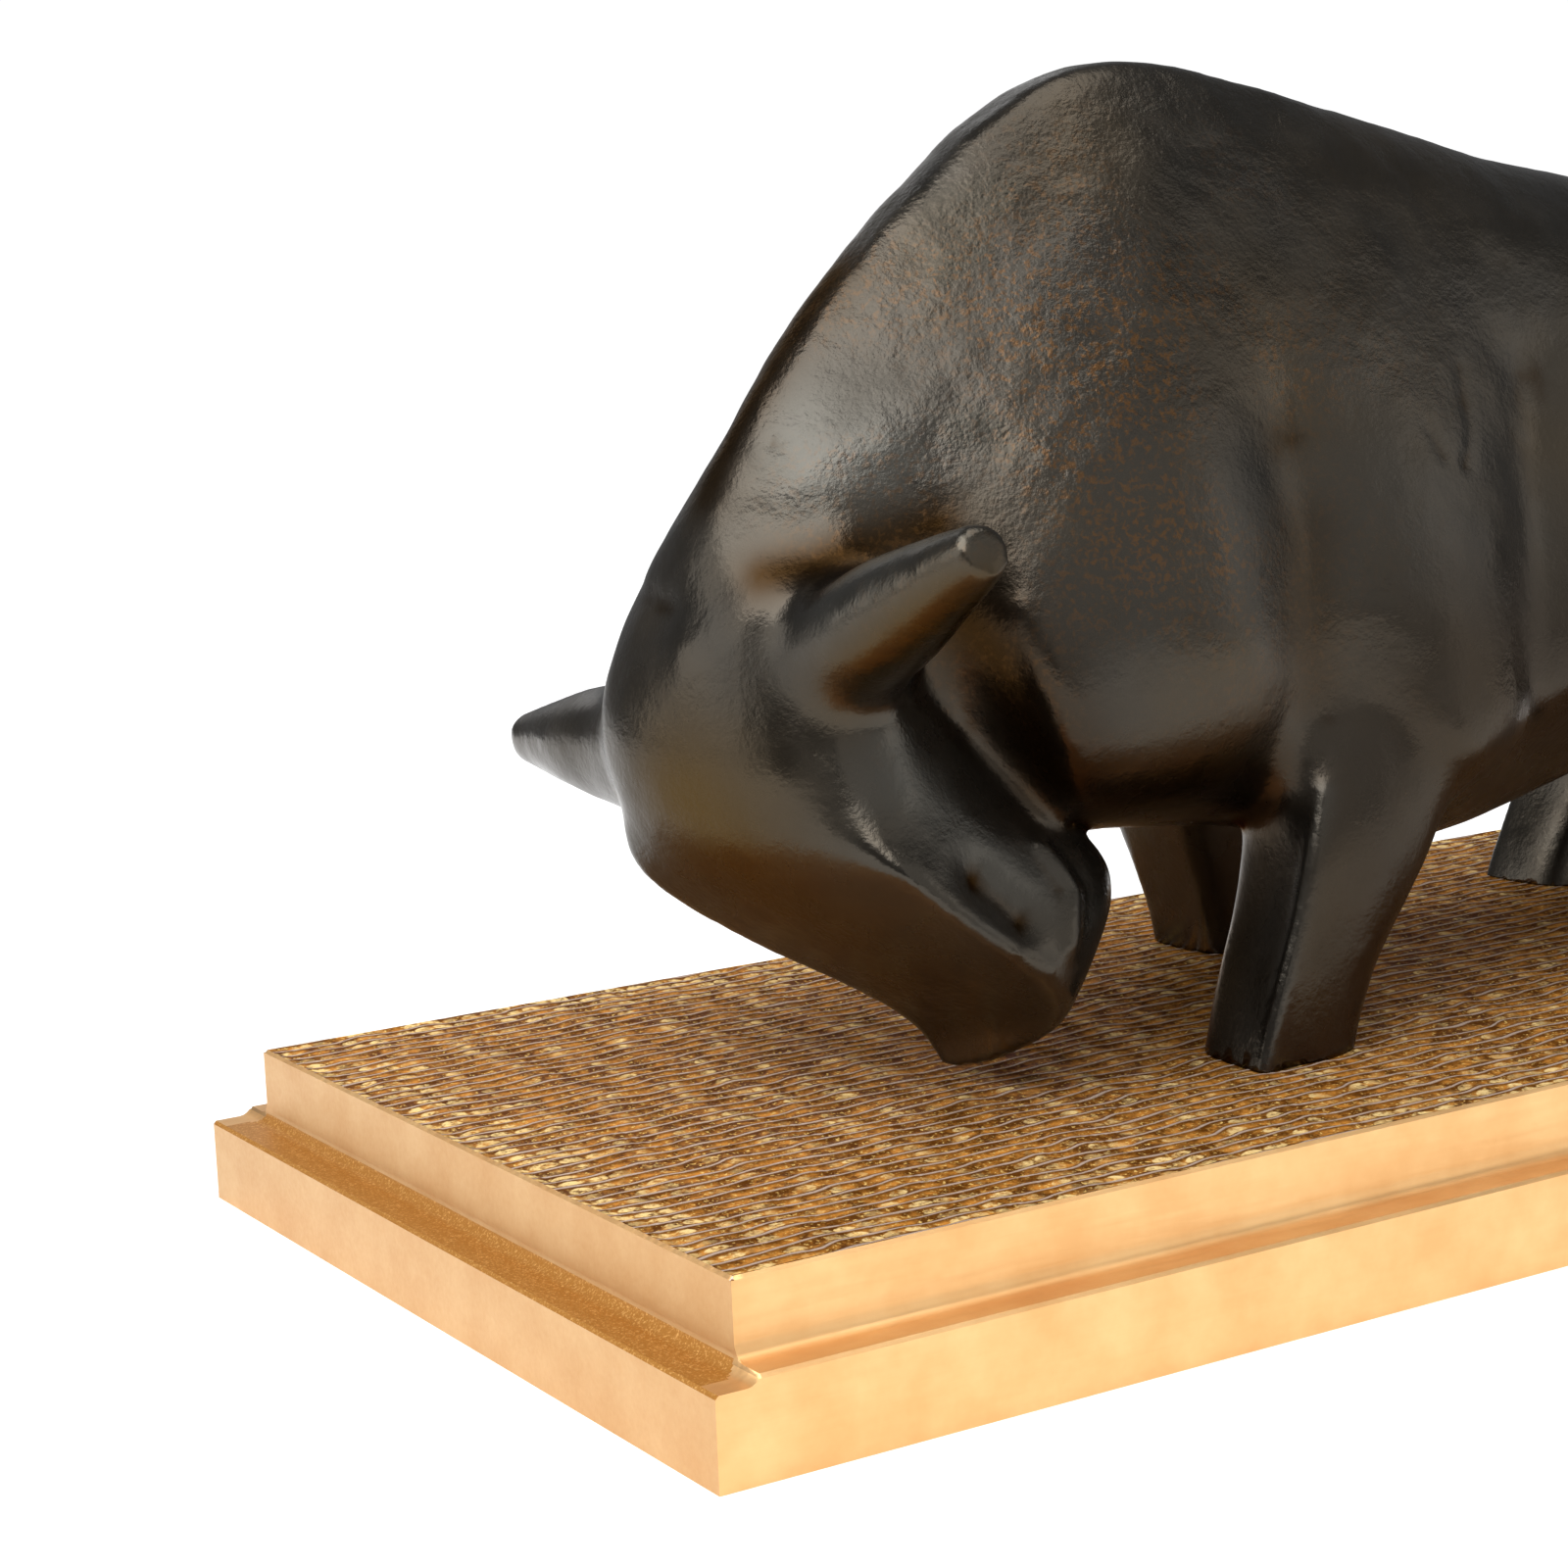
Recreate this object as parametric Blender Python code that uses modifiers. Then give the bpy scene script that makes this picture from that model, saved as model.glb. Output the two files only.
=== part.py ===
import math
from collections import namedtuple

import bmesh
import bpy
import numpy as np

# Driving dimensions in metres.
# X runs along the plinth with the bull facing -X, Y across it, Z up from the underside.
PLINTH_LENGTH = 0.450
PLINTH_WIDTH = 0.200
PLINTH_HEIGHT = 0.0312
END_LEDGE_HEIGHT = 0.0161
END_LEDGE_WIDTH = 0.0085
SIDE_LEDGE_HEIGHT = 0.0178
SIDE_LEDGE_WIDTH = 0.0082
LEDGE_COVE = 0.0028
PLINTH_EDGE_ROUND = 0.0005
ROUNDED_FROM_DEGREES = 50
COVE_STEPS = 5

BULL_HEIGHT = 0.188
SEAT_GAP = 0.0003

# How finely the bull is worked out, as lengths and counts.
BULL_VOXEL = 0.0024
BULL_TRIANGLES = 0.10
BULL_SMOOTHING = 8
SMOOTHING_STRENGTH = 0.5
CAGE_ROUNDING = 3
EASING_ROUNDS = 26

# The bull is a figure: every number below is a share of its own height,
# measured from the soles, with 0 at the middle of the plinth.
# A body section runs from the back line to the belly line. Half widths are taken at the
# crest, the shoulder edge, the flank, the lower flank and the keel; drop and turn are how
# far down the section the shoulder edge and the lower flank lie.
BodySection = namedtuple("BodySection",
                         "back belly crest shoulder flank low keel drop turn")
BODY_SECTIONS = (
    BodySection((0.905, 0.62), (0.895, 0.48), 0.02, 0.05, 0.06, 0.05, 0.02, 0.20, 0.80),
    BodySection((0.890, 0.72), (0.86, 0.33), 0.05, 0.14, 0.19, 0.17, 0.08, 0.16, 0.80),
    BodySection((0.790, 0.79), (0.75, 0.24), 0.06, 0.18, 0.265, 0.265, 0.12, 0.15, 0.80),
    BodySection((0.600, 0.825), (0.58, 0.225), 0.06, 0.185, 0.285, 0.29, 0.13, 0.16, 0.80),
    BodySection((0.360, 0.845), (0.36, 0.235), 0.055, 0.18, 0.275, 0.265, 0.11, 0.17, 0.76),
    BodySection((0.180, 0.875), (0.17, 0.18), 0.045, 0.15, 0.255, 0.25, 0.10, 0.15, 0.73),
    BodySection((0.030, 0.913), (0.02, 0.15), 0.04, 0.125, 0.225, 0.235, 0.12, 0.13, 0.76),
    BodySection((-0.110, 0.952), (-0.12, 0.155), 0.033, 0.10, 0.28, 0.30, 0.15, 0.09, 0.86),
    BodySection((-0.240, 0.982), (-0.23, 0.19), 0.028, 0.08, 0.285, 0.31, 0.16, 0.07, 0.85),
    BodySection((-0.345, 0.998), (-0.31, 0.21), 0.026, 0.068, 0.245, 0.27, 0.16, 0.055, 0.83),
    BodySection((-0.450, 0.998), (-0.41, 0.22), 0.026, 0.062, 0.265, 0.30, 0.16, 0.05, 0.83),
    BodySection((-0.580, 0.91), (-0.51, 0.23), 0.026, 0.060, 0.265, 0.29, 0.16, 0.05, 0.83),
    BodySection((-0.714, 0.788), (-0.585, 0.23), 0.024, 0.065, 0.25, 0.27, 0.14, 0.07, 0.83),
    BodySection((-0.809, 0.677), (-0.60, 0.25), 0.032, 0.155, 0.22, 0.225, 0.15, 0.28, 0.80),
    BodySection((-0.851, 0.610), (-0.615, 0.30), 0.045, 0.17, 0.20, 0.22, 0.16, 0.30, 0.80),
    BodySection((-0.879, 0.555), (-0.64, 0.36), 0.07, 0.155, 0.18, 0.215, 0.15, 0.24, 0.82),
    BodySection((-0.893, 0.51), (-0.68, 0.42), 0.09, 0.14, 0.16, 0.19, 0.13, 0.12, 0.82),
    BodySection((-0.890, 0.45), (-0.74, 0.43), 0.08, 0.11, 0.13, 0.14, 0.09, 0.15, 0.80),
)

# A head section runs from the middle of the face to the middle of the jaw. Half widths are
# taken at the ridge beside the face, the cheek and the jaw; side is how far the section
# leans towards the left flank, and roll is its turn about the length of the head.
HeadSection = namedtuple("HeadSection", "face jaw side ridge cheek jowl roll")
HEAD_SECTIONS = (
    HeadSection((-0.850, 0.56), (-0.68, 0.66), 0.00, 0.11, 0.14, 0.12, 8),
    HeadSection((-0.905, 0.47), (-0.67, 0.57), -0.01, 0.13, 0.17, 0.12, 12),
    HeadSection((-0.940, 0.37), (-0.66, 0.48), -0.01, 0.165, 0.19, 0.12, 15),
    HeadSection((-0.920, 0.275), (-0.65, 0.41), 0.02, 0.18, 0.18, 0.11, 15),
    HeadSection((-0.865, 0.205), (-0.62, 0.35), 0.055, 0.18, 0.155, 0.10, 16),
    HeadSection((-0.785, 0.145), (-0.568, 0.285), 0.105, 0.152, 0.13, 0.09, 17),
    HeadSection((-0.705, 0.095), (-0.514, 0.23), 0.135, 0.115, 0.125, 0.09, 20),
    HeadSection((-0.665, 0.045), (-0.478, 0.182), 0.125, 0.086, 0.088, 0.068, 27),
    HeadSection((-0.675, 0.00), (-0.595, 0.085), 0.115, 0.048, 0.052, 0.036, 32),
)
FLANK_DOWN = 0.5
HEAD_COLUMNS = (0.06, 0.5, 0.93)

# Leg sections from the top down: height, centre along X, half length, centre out from the
# middle, half width.
LegSection = namedtuple("LegSection", "height along length out width")
LEGS = {
    "left front": (-1, (
        LegSection(0.42, -0.20, 0.15, 0.16, 0.09),
        LegSection(0.26, -0.215, 0.115, 0.20, 0.085),
        LegSection(0.16, -0.262, 0.085, 0.205, 0.070),
        LegSection(0.07, -0.315, 0.075, 0.21, 0.062),
        LegSection(0.00, -0.335, 0.075, 0.212, 0.060),
        LegSection(-0.05, -0.345, 0.075, 0.212, 0.060),
    )),
    "right front": (1, (
        LegSection(0.42, -0.10, 0.15, 0.16, 0.09),
        LegSection(0.26, -0.105, 0.115, 0.20, 0.085),
        LegSection(0.16, -0.095, 0.085, 0.205, 0.070),
        LegSection(0.07, -0.07, 0.072, 0.21, 0.062),
        LegSection(0.00, -0.05, 0.072, 0.212, 0.060),
        LegSection(-0.05, -0.045, 0.072, 0.212, 0.060),
    )),
    "left hind": (-1, (
        LegSection(0.46, 0.68, 0.12, 0.15, 0.08),
        LegSection(0.28, 0.70, 0.13, 0.185, 0.085),
        LegSection(0.16, 0.68, 0.092, 0.205, 0.070),
        LegSection(0.07, 0.665, 0.075, 0.21, 0.062),
        LegSection(0.00, 0.655, 0.075, 0.212, 0.060),
        LegSection(-0.05, 0.65, 0.075, 0.212, 0.060),
    )),
    "right hind": (1, (
        LegSection(0.46, 0.64, 0.12, 0.15, 0.08),
        LegSection(0.28, 0.62, 0.13, 0.19, 0.085),
        LegSection(0.16, 0.57, 0.088, 0.21, 0.070),
        LegSection(0.07, 0.52, 0.075, 0.225, 0.062),
        LegSection(0.00, 0.49, 0.080, 0.225, 0.063),
        LegSection(-0.05, 0.48, 0.080, 0.225, 0.063),
    )),
}
LEG_CORNERS = ((-1.0, 1.0), (-1.0, 0.0), (-0.9, -1.0), (0.0, -1.05),
               (0.9, -0.8), (1.05, 0.0), (0.95, 0.85), (0.0, 1.05))

# Each horn is a cone with a cut tip, from its root inside the head to the cut.
HORNS = {
    "left horn": ((-0.82, -0.13, 0.435), (-0.800, -0.385, 0.566)),
    "right horn": ((-0.85, 0.14, 0.335), (-0.872, 0.38, 0.318)),
}
HORN_ROOT_RADIUS = 0.086
HORN_TIP_RADIUS = 0.029
HORN_SIDES = 8
HORN_STATIONS = (-0.3, 0.0, 0.35, 0.7, 0.96, 1.0)

TAIL_PATH = ((0.80, 0.0, 0.80), (0.875, 0.0, 0.755), (0.905, 0.01, 0.66),
             (0.900, 0.025, 0.53), (0.888, 0.035, 0.42), (0.880, 0.03, 0.33))
TAIL_RADII = (0.03, 0.036, 0.028, 0.026, 0.040, 0.014)
TAIL_SIDES = 6

# Edges that stay crisp. A ridge follows one column of a shell's points from its first to its
# last section; a rim follows one section through the columns named.
Ridge = namedtuple("Ridge", "column first last sharpness")
Rim = namedtuple("Rim", "section columns sharpness")
SOFT_EDGE = 0.5
FIRM_EDGE = 0.55
CUT_EDGE = 1.0
CREST_RIDGES = (Ridge(1, 7, 13, SOFT_EDGE), Ridge(11, 7, 13, SOFT_EDGE))
FLANK_RIDGES = (Ridge(4, 5, 8, SOFT_EDGE), Ridge(8, 5, 8, SOFT_EDGE))
SHOULDER_RIMS = (Rim(12, (3, 4, 5), SOFT_EDGE), Rim(12, (9, 8, 7), SOFT_EDGE))
FACE_RIDGES = (Ridge(1, 3, 8, FIRM_EDGE), Ridge(7, 3, 8, FIRM_EDGE))
SHIN_RIDGES = (Ridge(0, 1, 5, SOFT_EDGE),)

# Joins between the shells that are eased by hand: the line each follows and how far the
# easing reaches to either side of it.
EasedJoin = namedtuple("EasedJoin", "line reach")
EASED_JOINS = (
    EasedJoin(((-0.75, -0.18, 0.45), (-0.65, -0.17, 0.35), (-0.61, -0.18, 0.29)), 0.045),
    EasedJoin(((-0.75, 0.18, 0.45), (-0.65, 0.18, 0.35), (-0.61, 0.18, 0.29)), 0.045),
    EasedJoin(((-0.87, -0.20, 0.42), (-0.79, -0.16, 0.50), (-0.77, -0.19, 0.42)), 0.035),
    EasedJoin(((-0.90, 0.18, 0.33), (-0.82, 0.18, 0.42), (-0.80, 0.20, 0.33)), 0.035),
    EasedJoin(((-0.44, -0.20, 0.27), (-0.34, -0.21, 0.275), (-0.12, -0.24, 0.24)), 0.045),
    EasedJoin(((-0.22, 0.22, 0.28), (-0.10, 0.24, 0.28), (0.02, 0.24, 0.24)), 0.040),
    EasedJoin(((0.56, -0.24, 0.30), (0.70, -0.27, 0.36), (0.83, -0.22, 0.36)), 0.050),
    EasedJoin(((0.50, 0.24, 0.28), (0.64, 0.27, 0.36), (0.77, 0.24, 0.34)), 0.050),
    EasedJoin(((0.80, 0.0, 0.80), (0.88, 0.0, 0.76), (0.89, 0.01, 0.66)), 0.040),
)

# Marks worked into the skin: the line each follows, how far it reaches to either side, and
# how far the skin rises there. A mark that sinks has a negative rise.
Mark = namedtuple("Mark", "line reach rise")
MARKS = {
    "neck bulge": Mark(((-0.80, -0.08, 0.64), (-0.74, -0.12, 0.66)), 0.05, 0.006),
    "brow": Mark(((-0.895, -0.03, 0.45), (-0.885, -0.09, 0.46)), 0.045, 0.009),
    "left cheek": Mark(((-0.72, -0.245, 0.235), (-0.684, -0.255, 0.195)), 0.026, -0.012),
    "right cheek": Mark(((-0.72, 0.05, 0.235), (-0.684, 0.03, 0.195)), 0.026, -0.010),
    "left shoulder valley": Mark(((-0.315, -0.224, 0.61), (-0.324, -0.261, 0.46),
                                  (-0.304, -0.257, 0.345)), 0.055, -0.010),
    "right shoulder valley": Mark(((-0.30, 0.24, 0.60), (-0.30, 0.25, 0.50),
                                   (-0.29, 0.262, 0.38)), 0.055, -0.010),
    "left waist": Mark(((0.041, -0.204, 0.66), (0.003, -0.242, 0.493),
                        (-0.002, -0.254, 0.33)), 0.045, -0.010),
    "right waist": Mark(((0.041, 0.204, 0.66), (0.003, 0.242, 0.493),
                         (-0.008, 0.253, 0.36)), 0.045, -0.010),
}

BRONZE_COLOUR = (0.045, 0.032, 0.022)
BRONZE_ROUGHNESS = 0.36
BRONZE_METALLIC = 0.85
GILT_COLOUR = (0.80, 0.55, 0.24)
GILT_ROUGHNESS = 0.40
GILT_METALLIC = 0.9


def clear_scene():
    for item in list(bpy.data.objects):
        bpy.data.objects.remove(item, do_unlink=True)


def make_collection(name):
    group = bpy.data.collections.new(name)
    bpy.context.scene.collection.children.link(group)
    return group


def make_material(name, colour, roughness, metallic):
    material = bpy.data.materials.new(name)
    material.use_nodes = True
    shader = material.node_tree.nodes["Principled BSDF"]
    shader.inputs["Base Color"].default_value = (*colour, 1.0)
    shader.inputs["Roughness"].default_value = roughness
    shader.inputs["Metallic"].default_value = metallic
    return material


def body_ring(section):
    back = np.array((section.back[0], 0.0, section.back[1]))
    belly = np.array((section.belly[0], 0.0, section.belly[1]))
    downs = (0.0, section.drop, FLANK_DOWN, section.turn, 1.0)
    widths = (section.crest, section.shoulder, section.flank, section.low, section.keel)
    left = []
    right = []
    for down, width in zip(downs, widths):
        middle = back + (belly - back) * down
        left.append(middle - (0.0, width, 0.0))
        right.append(middle + (0.0, width, 0.0))
    return [back, *left, belly, *reversed(right)]


def head_ring(section):
    face = np.array((section.face[0], -section.side, section.face[1]))
    jaw = np.array((section.jaw[0], -section.side, section.jaw[1]))
    centre = (face + jaw) / 2
    depth = np.linalg.norm(jaw - face)
    inward = (jaw - face) / depth
    across = np.array((0.0, 1.0, 0.0))
    turn = math.radians(section.roll)
    turned_across = across * math.cos(turn) - inward * math.sin(turn)
    turned_inward = inward * math.cos(turn) + across * math.sin(turn)
    start = centre - turned_inward * depth / 2
    left = []
    right = []
    for down, width in zip(HEAD_COLUMNS, (section.ridge, section.cheek, section.jowl)):
        middle = start + turned_inward * depth * down
        left.append(middle - turned_across * width)
        right.append(middle + turned_across * width)
    return [start, *left, start + turned_inward * depth, *reversed(right)]


def leg_ring(section, side):
    ring = []
    for forward, outward in LEG_CORNERS:
        ring.append(np.array((section.along + section.length * forward,
                              side * (section.out + section.width * outward),
                              section.height)))
    return ring


def tube_rings(centres, radii, sides):
    centres = np.array(centres)
    headings = np.gradient(centres, axis=0)
    rings = []
    for centre, heading, radius in zip(centres, headings, radii):
        heading = heading / np.linalg.norm(heading)
        first = np.cross(heading, (1.0, 0.0, 0.0) if abs(heading[0]) < 0.8 else (0.0, 1.0, 0.0))
        first = first / np.linalg.norm(first)
        second = np.cross(heading, first)
        ring = []
        for step in range(sides):
            angle = 2 * math.pi * step / sides
            ring.append(centre + radius * (first * math.cos(angle) + second * math.sin(angle)))
        rings.append(ring)
    return rings


def horn_rings(root, tip):
    root = np.array(root)
    tip = np.array(tip)
    centres = [root + (tip - root) * station for station in HORN_STATIONS]
    radii = []
    for station in HORN_STATIONS:
        radii.append(HORN_ROOT_RADIUS + (HORN_TIP_RADIUS - HORN_ROOT_RADIUS) * max(station, 0.0))
    return tube_rings(centres, radii, HORN_SIDES)


def crease_run(vertices, crease, sharpness):
    """Sharpen the edges that join the vertices in turn."""
    for start, end in zip(vertices, vertices[1:]):
        for edge in start.link_edges:
            if edge.other_vert(start) is end:
                edge[crease] = sharpness


def add_shell(cage, rings, ridges=(), rims=()):
    """Bridge the rings into one closed shell, fill its ends and mark its crisp edges."""
    crease = cage.edges.layers.float.get("crease_edge")
    rows = []
    for ring in rings:
        rows.append([cage.verts.new(point) for point in ring])
    faces = []
    for upper, lower in zip(rows, rows[1:]):
        count = len(upper)
        for column in range(count):
            following = (column + 1) % count
            faces.append(cage.faces.new((upper[column], upper[following],
                                         lower[following], lower[column])))
    faces.append(cage.faces.new(reversed(rows[0])))
    faces.append(cage.faces.new(rows[-1]))
    for ridge in ridges:
        run = [row[ridge.column] for row in rows[ridge.first:ridge.last + 1]]
        crease_run(run, crease, ridge.sharpness)
    for rim in rims:
        run = [rows[rim.section][column] for column in rim.columns]
        crease_run(run, crease, rim.sharpness)
    bmesh.ops.recalc_face_normals(cage, faces=faces)


def build_bull_cage():
    cage = bmesh.new()
    cage.edges.layers.float.new("crease_edge")
    add_shell(cage, [body_ring(section) for section in BODY_SECTIONS],
              ridges=CREST_RIDGES + FLANK_RIDGES, rims=SHOULDER_RIMS)
    add_shell(cage, [head_ring(section) for section in HEAD_SECTIONS], ridges=FACE_RIDGES)
    for side, sections in LEGS.values():
        add_shell(cage, [leg_ring(section, side) for section in sections],
                  ridges=SHIN_RIDGES)
    all_round = tuple(range(HORN_SIDES)) + (0,)
    for root, tip in HORNS.values():
        rings = horn_rings(root, tip)
        add_shell(cage, rings, rims=(Rim(len(rings) - 1, all_round, CUT_EDGE),))
    add_shell(cage, tube_rings(TAIL_PATH, TAIL_RADII, TAIL_SIDES))
    return cage


def fused_mesh(cage):
    """Round the cage's shells, fuse them into one skin and soften it."""
    mesh = bpy.data.meshes.new("bull cage")
    cage.to_mesh(mesh)
    cage.free()
    rough = bpy.data.objects.new("bull cage", mesh)
    bpy.context.scene.collection.objects.link(rough)
    rounding = rough.modifiers.new("round the cage", "SUBSURF")
    rounding.levels = CAGE_ROUNDING
    rounding.render_levels = CAGE_ROUNDING
    fusing = rough.modifiers.new("fuse the shells", "REMESH")
    fusing.mode = "VOXEL"
    fusing.voxel_size = BULL_VOXEL
    softening = rough.modifiers.new("soften the joins", "SMOOTH")
    softening.factor = SMOOTHING_STRENGTH
    softening.iterations = BULL_SMOOTHING
    view = bpy.context.evaluated_depsgraph_get()
    skin = bpy.data.meshes.new_from_object(rough.evaluated_get(view))
    bpy.data.objects.remove(rough)
    return skin


def distance_to_line(points, line):
    """Each point's distance to the nearest stretch of the line."""
    line = np.array(line)
    nearest = np.full(len(points), np.inf)
    for start, end in zip(line, line[1:]):
        run = end - start
        share = np.clip((points - start) @ run / (run @ run), 0.0, 1.0)
        nearest = np.minimum(nearest,
                             np.linalg.norm(points - start - share[:, None] * run, axis=1))
    return nearest


def fading(points, line, reach):
    """1 on the line, falling to nothing on either side of it."""
    return np.exp(-(distance_to_line(points, line) / reach) ** 2)


def mesh_points(mesh):
    points = np.empty(len(mesh.vertices) * 3)
    mesh.vertices.foreach_get("co", points)
    return points.reshape(-1, 3)


def ease_joins(mesh, seat):
    """Draw the points near each eased join towards the mean of their neighbours."""
    points = mesh_points(mesh)
    ends = np.empty(len(mesh.edges) * 2, dtype=np.int64)
    mesh.edges.foreach_get("vertices", ends)
    ends = ends.reshape(-1, 2)
    shares = (points - (0.0, 0.0, seat)) / BULL_HEIGHT
    weight = np.zeros(len(points))
    for join in EASED_JOINS:
        weight = np.maximum(weight, fading(shares, join.line, join.reach))
    weight = (weight * SMOOTHING_STRENGTH)[:, None]
    neighbours = np.bincount(ends.ravel(), minlength=len(points))[:, None]
    for _ in range(EASING_ROUNDS):
        total = np.zeros_like(points)
        np.add.at(total, ends[:, 0], points[ends[:, 1]])
        np.add.at(total, ends[:, 1], points[ends[:, 0]])
        points += (total / neighbours - points) * weight
    mesh.vertices.foreach_set("co", points.ravel())
    mesh.update()


def work_marks(mesh, seat):
    """Raise or sink the skin along its own normals beside each mark."""
    points = mesh_points(mesh)
    normals = np.empty(len(points) * 3)
    mesh.vertices.foreach_get("normal", normals)
    shares = (points - (0.0, 0.0, seat)) / BULL_HEIGHT
    rise = np.zeros(len(points))
    for mark in MARKS.values():
        rise += mark.rise * fading(shares, mark.line, mark.reach)
    points += normals.reshape(-1, 3) * (rise * BULL_HEIGHT)[:, None]
    mesh.vertices.foreach_set("co", points.ravel())
    mesh.update()


def build_bull(group, cutters):
    cage = build_bull_cage()
    seat = PLINTH_HEIGHT + SEAT_GAP
    for vertex in cage.verts:
        vertex.co = vertex.co * BULL_HEIGHT
        vertex.co.z += seat
    mesh = fused_mesh(cage)
    mesh.name = "bull"
    ease_joins(mesh, seat)
    work_marks(mesh, seat)
    bull = bpy.data.objects.new("bull", mesh)
    group.objects.link(bull)
    thinning = bull.modifiers.new("thin the triangles", "DECIMATE")
    thinning.ratio = BULL_TRIANGLES

    below = add_block("below the soles", cutters, PLINTH_LENGTH, PLINTH_WIDTH, PLINTH_HEIGHT)
    below.location.z = seat - PLINTH_HEIGHT
    mark_as_cutter(below)
    soles = bull.modifiers.new("flatten the soles", "BOOLEAN")
    soles.operation = "DIFFERENCE"
    soles.object = below
    mesh.materials.clear()
    mesh.materials.append(make_material("bronze", BRONZE_COLOUR, BRONZE_ROUGHNESS,
                                        BRONZE_METALLIC))
    return bull


def add_block(name, group, length, width, height):
    """A block centred on Z with its underside at its origin."""
    mesh = bpy.data.meshes.new(name)
    block = bmesh.new()
    bmesh.ops.create_cube(block, size=1.0)
    bmesh.ops.translate(block, verts=block.verts, vec=(0.0, 0.0, 0.5))
    bmesh.ops.scale(block, verts=block.verts, vec=(length, width, height))
    block.to_mesh(mesh)
    block.free()
    item = bpy.data.objects.new(name, mesh)
    group.objects.link(item)
    return item


def mark_as_cutter(item):
    item.hide_render = True
    item.display_type = "WIRE"


def ledge_outline(ledge_width, ledge_height):
    """The cut's outline across the edge: distance in from the outer face, and height."""
    reach = ledge_width
    above = PLINTH_HEIGHT + ledge_width
    points = [(-ledge_width, above), (-ledge_width, ledge_height)]
    for step in range(COVE_STEPS + 1):
        angle = math.pi / 2 * step / COVE_STEPS
        points.append((reach - LEDGE_COVE + LEDGE_COVE * math.sin(angle),
                       ledge_height + LEDGE_COVE - LEDGE_COVE * math.cos(angle)))
    points.append((reach, above))
    return points


def add_ledge_cutter(name, cutters, outline, edge_distance, run, quarter_turns):
    """Carry the outline along one edge of the plinth, then turn it to its side."""
    bar = bmesh.new()
    first = []
    second = []
    for inward, height in outline:
        first.append(bar.verts.new((-edge_distance + inward, -run, height)))
        second.append(bar.verts.new((-edge_distance + inward, run, height)))
    bar.faces.new(first)
    bar.faces.new(reversed(second))
    for index in range(len(outline)):
        following = (index + 1) % len(outline)
        bar.faces.new((first[index], first[following], second[following], second[index]))
    bmesh.ops.recalc_face_normals(bar, faces=bar.faces)
    mesh = bpy.data.meshes.new(name)
    bar.to_mesh(mesh)
    bar.free()
    cutter = bpy.data.objects.new(name, mesh)
    cutters.objects.link(cutter)
    cutter.rotation_euler.z = quarter_turns * math.pi / 2
    mark_as_cutter(cutter)
    return cutter


def build_plinth(group, cutters):
    plinth = add_block("plinth", group, PLINTH_LENGTH, PLINTH_WIDTH, PLINTH_HEIGHT)
    end_outline = ledge_outline(END_LEDGE_WIDTH, END_LEDGE_HEIGHT)
    side_outline = ledge_outline(SIDE_LEDGE_WIDTH, SIDE_LEDGE_HEIGHT)
    cuts = (
        ("front end ledge cut", end_outline, PLINTH_LENGTH / 2, PLINTH_WIDTH, 0),
        ("left side ledge cut", side_outline, PLINTH_WIDTH / 2, PLINTH_LENGTH, 1),
        ("rear end ledge cut", end_outline, PLINTH_LENGTH / 2, PLINTH_WIDTH, 2),
        ("right side ledge cut", side_outline, PLINTH_WIDTH / 2, PLINTH_LENGTH, 3),
    )
    for name, outline, distance, run, turns in cuts:
        cutter = add_ledge_cutter(name, cutters, outline, distance, run, turns)
        cut = plinth.modifiers.new(name, "BOOLEAN")
        cut.operation = "DIFFERENCE"
        cut.object = cutter
    edges = plinth.modifiers.new("round the edges", "BEVEL")
    edges.width = PLINTH_EDGE_ROUND
    edges.segments = 1
    edges.limit_method = "ANGLE"
    edges.angle_limit = math.radians(ROUNDED_FROM_DEGREES)
    plinth.data.materials.append(make_material("gilt", GILT_COLOUR, GILT_ROUGHNESS,
                                               GILT_METALLIC))
    return plinth


def main():
    clear_scene()
    group = make_collection("bull sculpture")
    cutters = make_collection("cutters")
    build_plinth(group, cutters)
    build_bull(group, cutters)


main()
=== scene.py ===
import itertools
import math

import bmesh
import bpy
import numpy as np
from mathutils import Matrix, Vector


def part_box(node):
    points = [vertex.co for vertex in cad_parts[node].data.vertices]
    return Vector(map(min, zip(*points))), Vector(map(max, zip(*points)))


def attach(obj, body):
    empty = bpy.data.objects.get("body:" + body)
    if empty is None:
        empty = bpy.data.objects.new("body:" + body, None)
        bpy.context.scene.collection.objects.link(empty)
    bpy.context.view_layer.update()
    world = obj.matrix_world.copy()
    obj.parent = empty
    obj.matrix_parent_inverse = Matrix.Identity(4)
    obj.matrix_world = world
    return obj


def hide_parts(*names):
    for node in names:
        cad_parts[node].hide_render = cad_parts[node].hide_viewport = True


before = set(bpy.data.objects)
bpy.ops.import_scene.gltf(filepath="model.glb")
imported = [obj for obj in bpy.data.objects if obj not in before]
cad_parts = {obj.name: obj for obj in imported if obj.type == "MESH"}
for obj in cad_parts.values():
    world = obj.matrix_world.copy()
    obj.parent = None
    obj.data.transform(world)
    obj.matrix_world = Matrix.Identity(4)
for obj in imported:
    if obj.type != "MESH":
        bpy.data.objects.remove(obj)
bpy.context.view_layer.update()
scene = bpy.context.scene
plinthLow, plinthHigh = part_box("plinth")
bullLow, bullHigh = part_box("bull")
print("frame loaded")


# camera: place and nearest in metres, lens and sensor in millimetres, turns in degrees;
# yaw turns from +Y towards +X, pitch looks down
view = {
    "place": (-0.466227, -0.524033, 0.196039),
    "yaw": 31.326,
    "pitch": 9.952,
    "roll": -2.383,
    "lens": 77.0,
    "sensor": 36.0,
    "nearest": 0.01,
}


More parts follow.
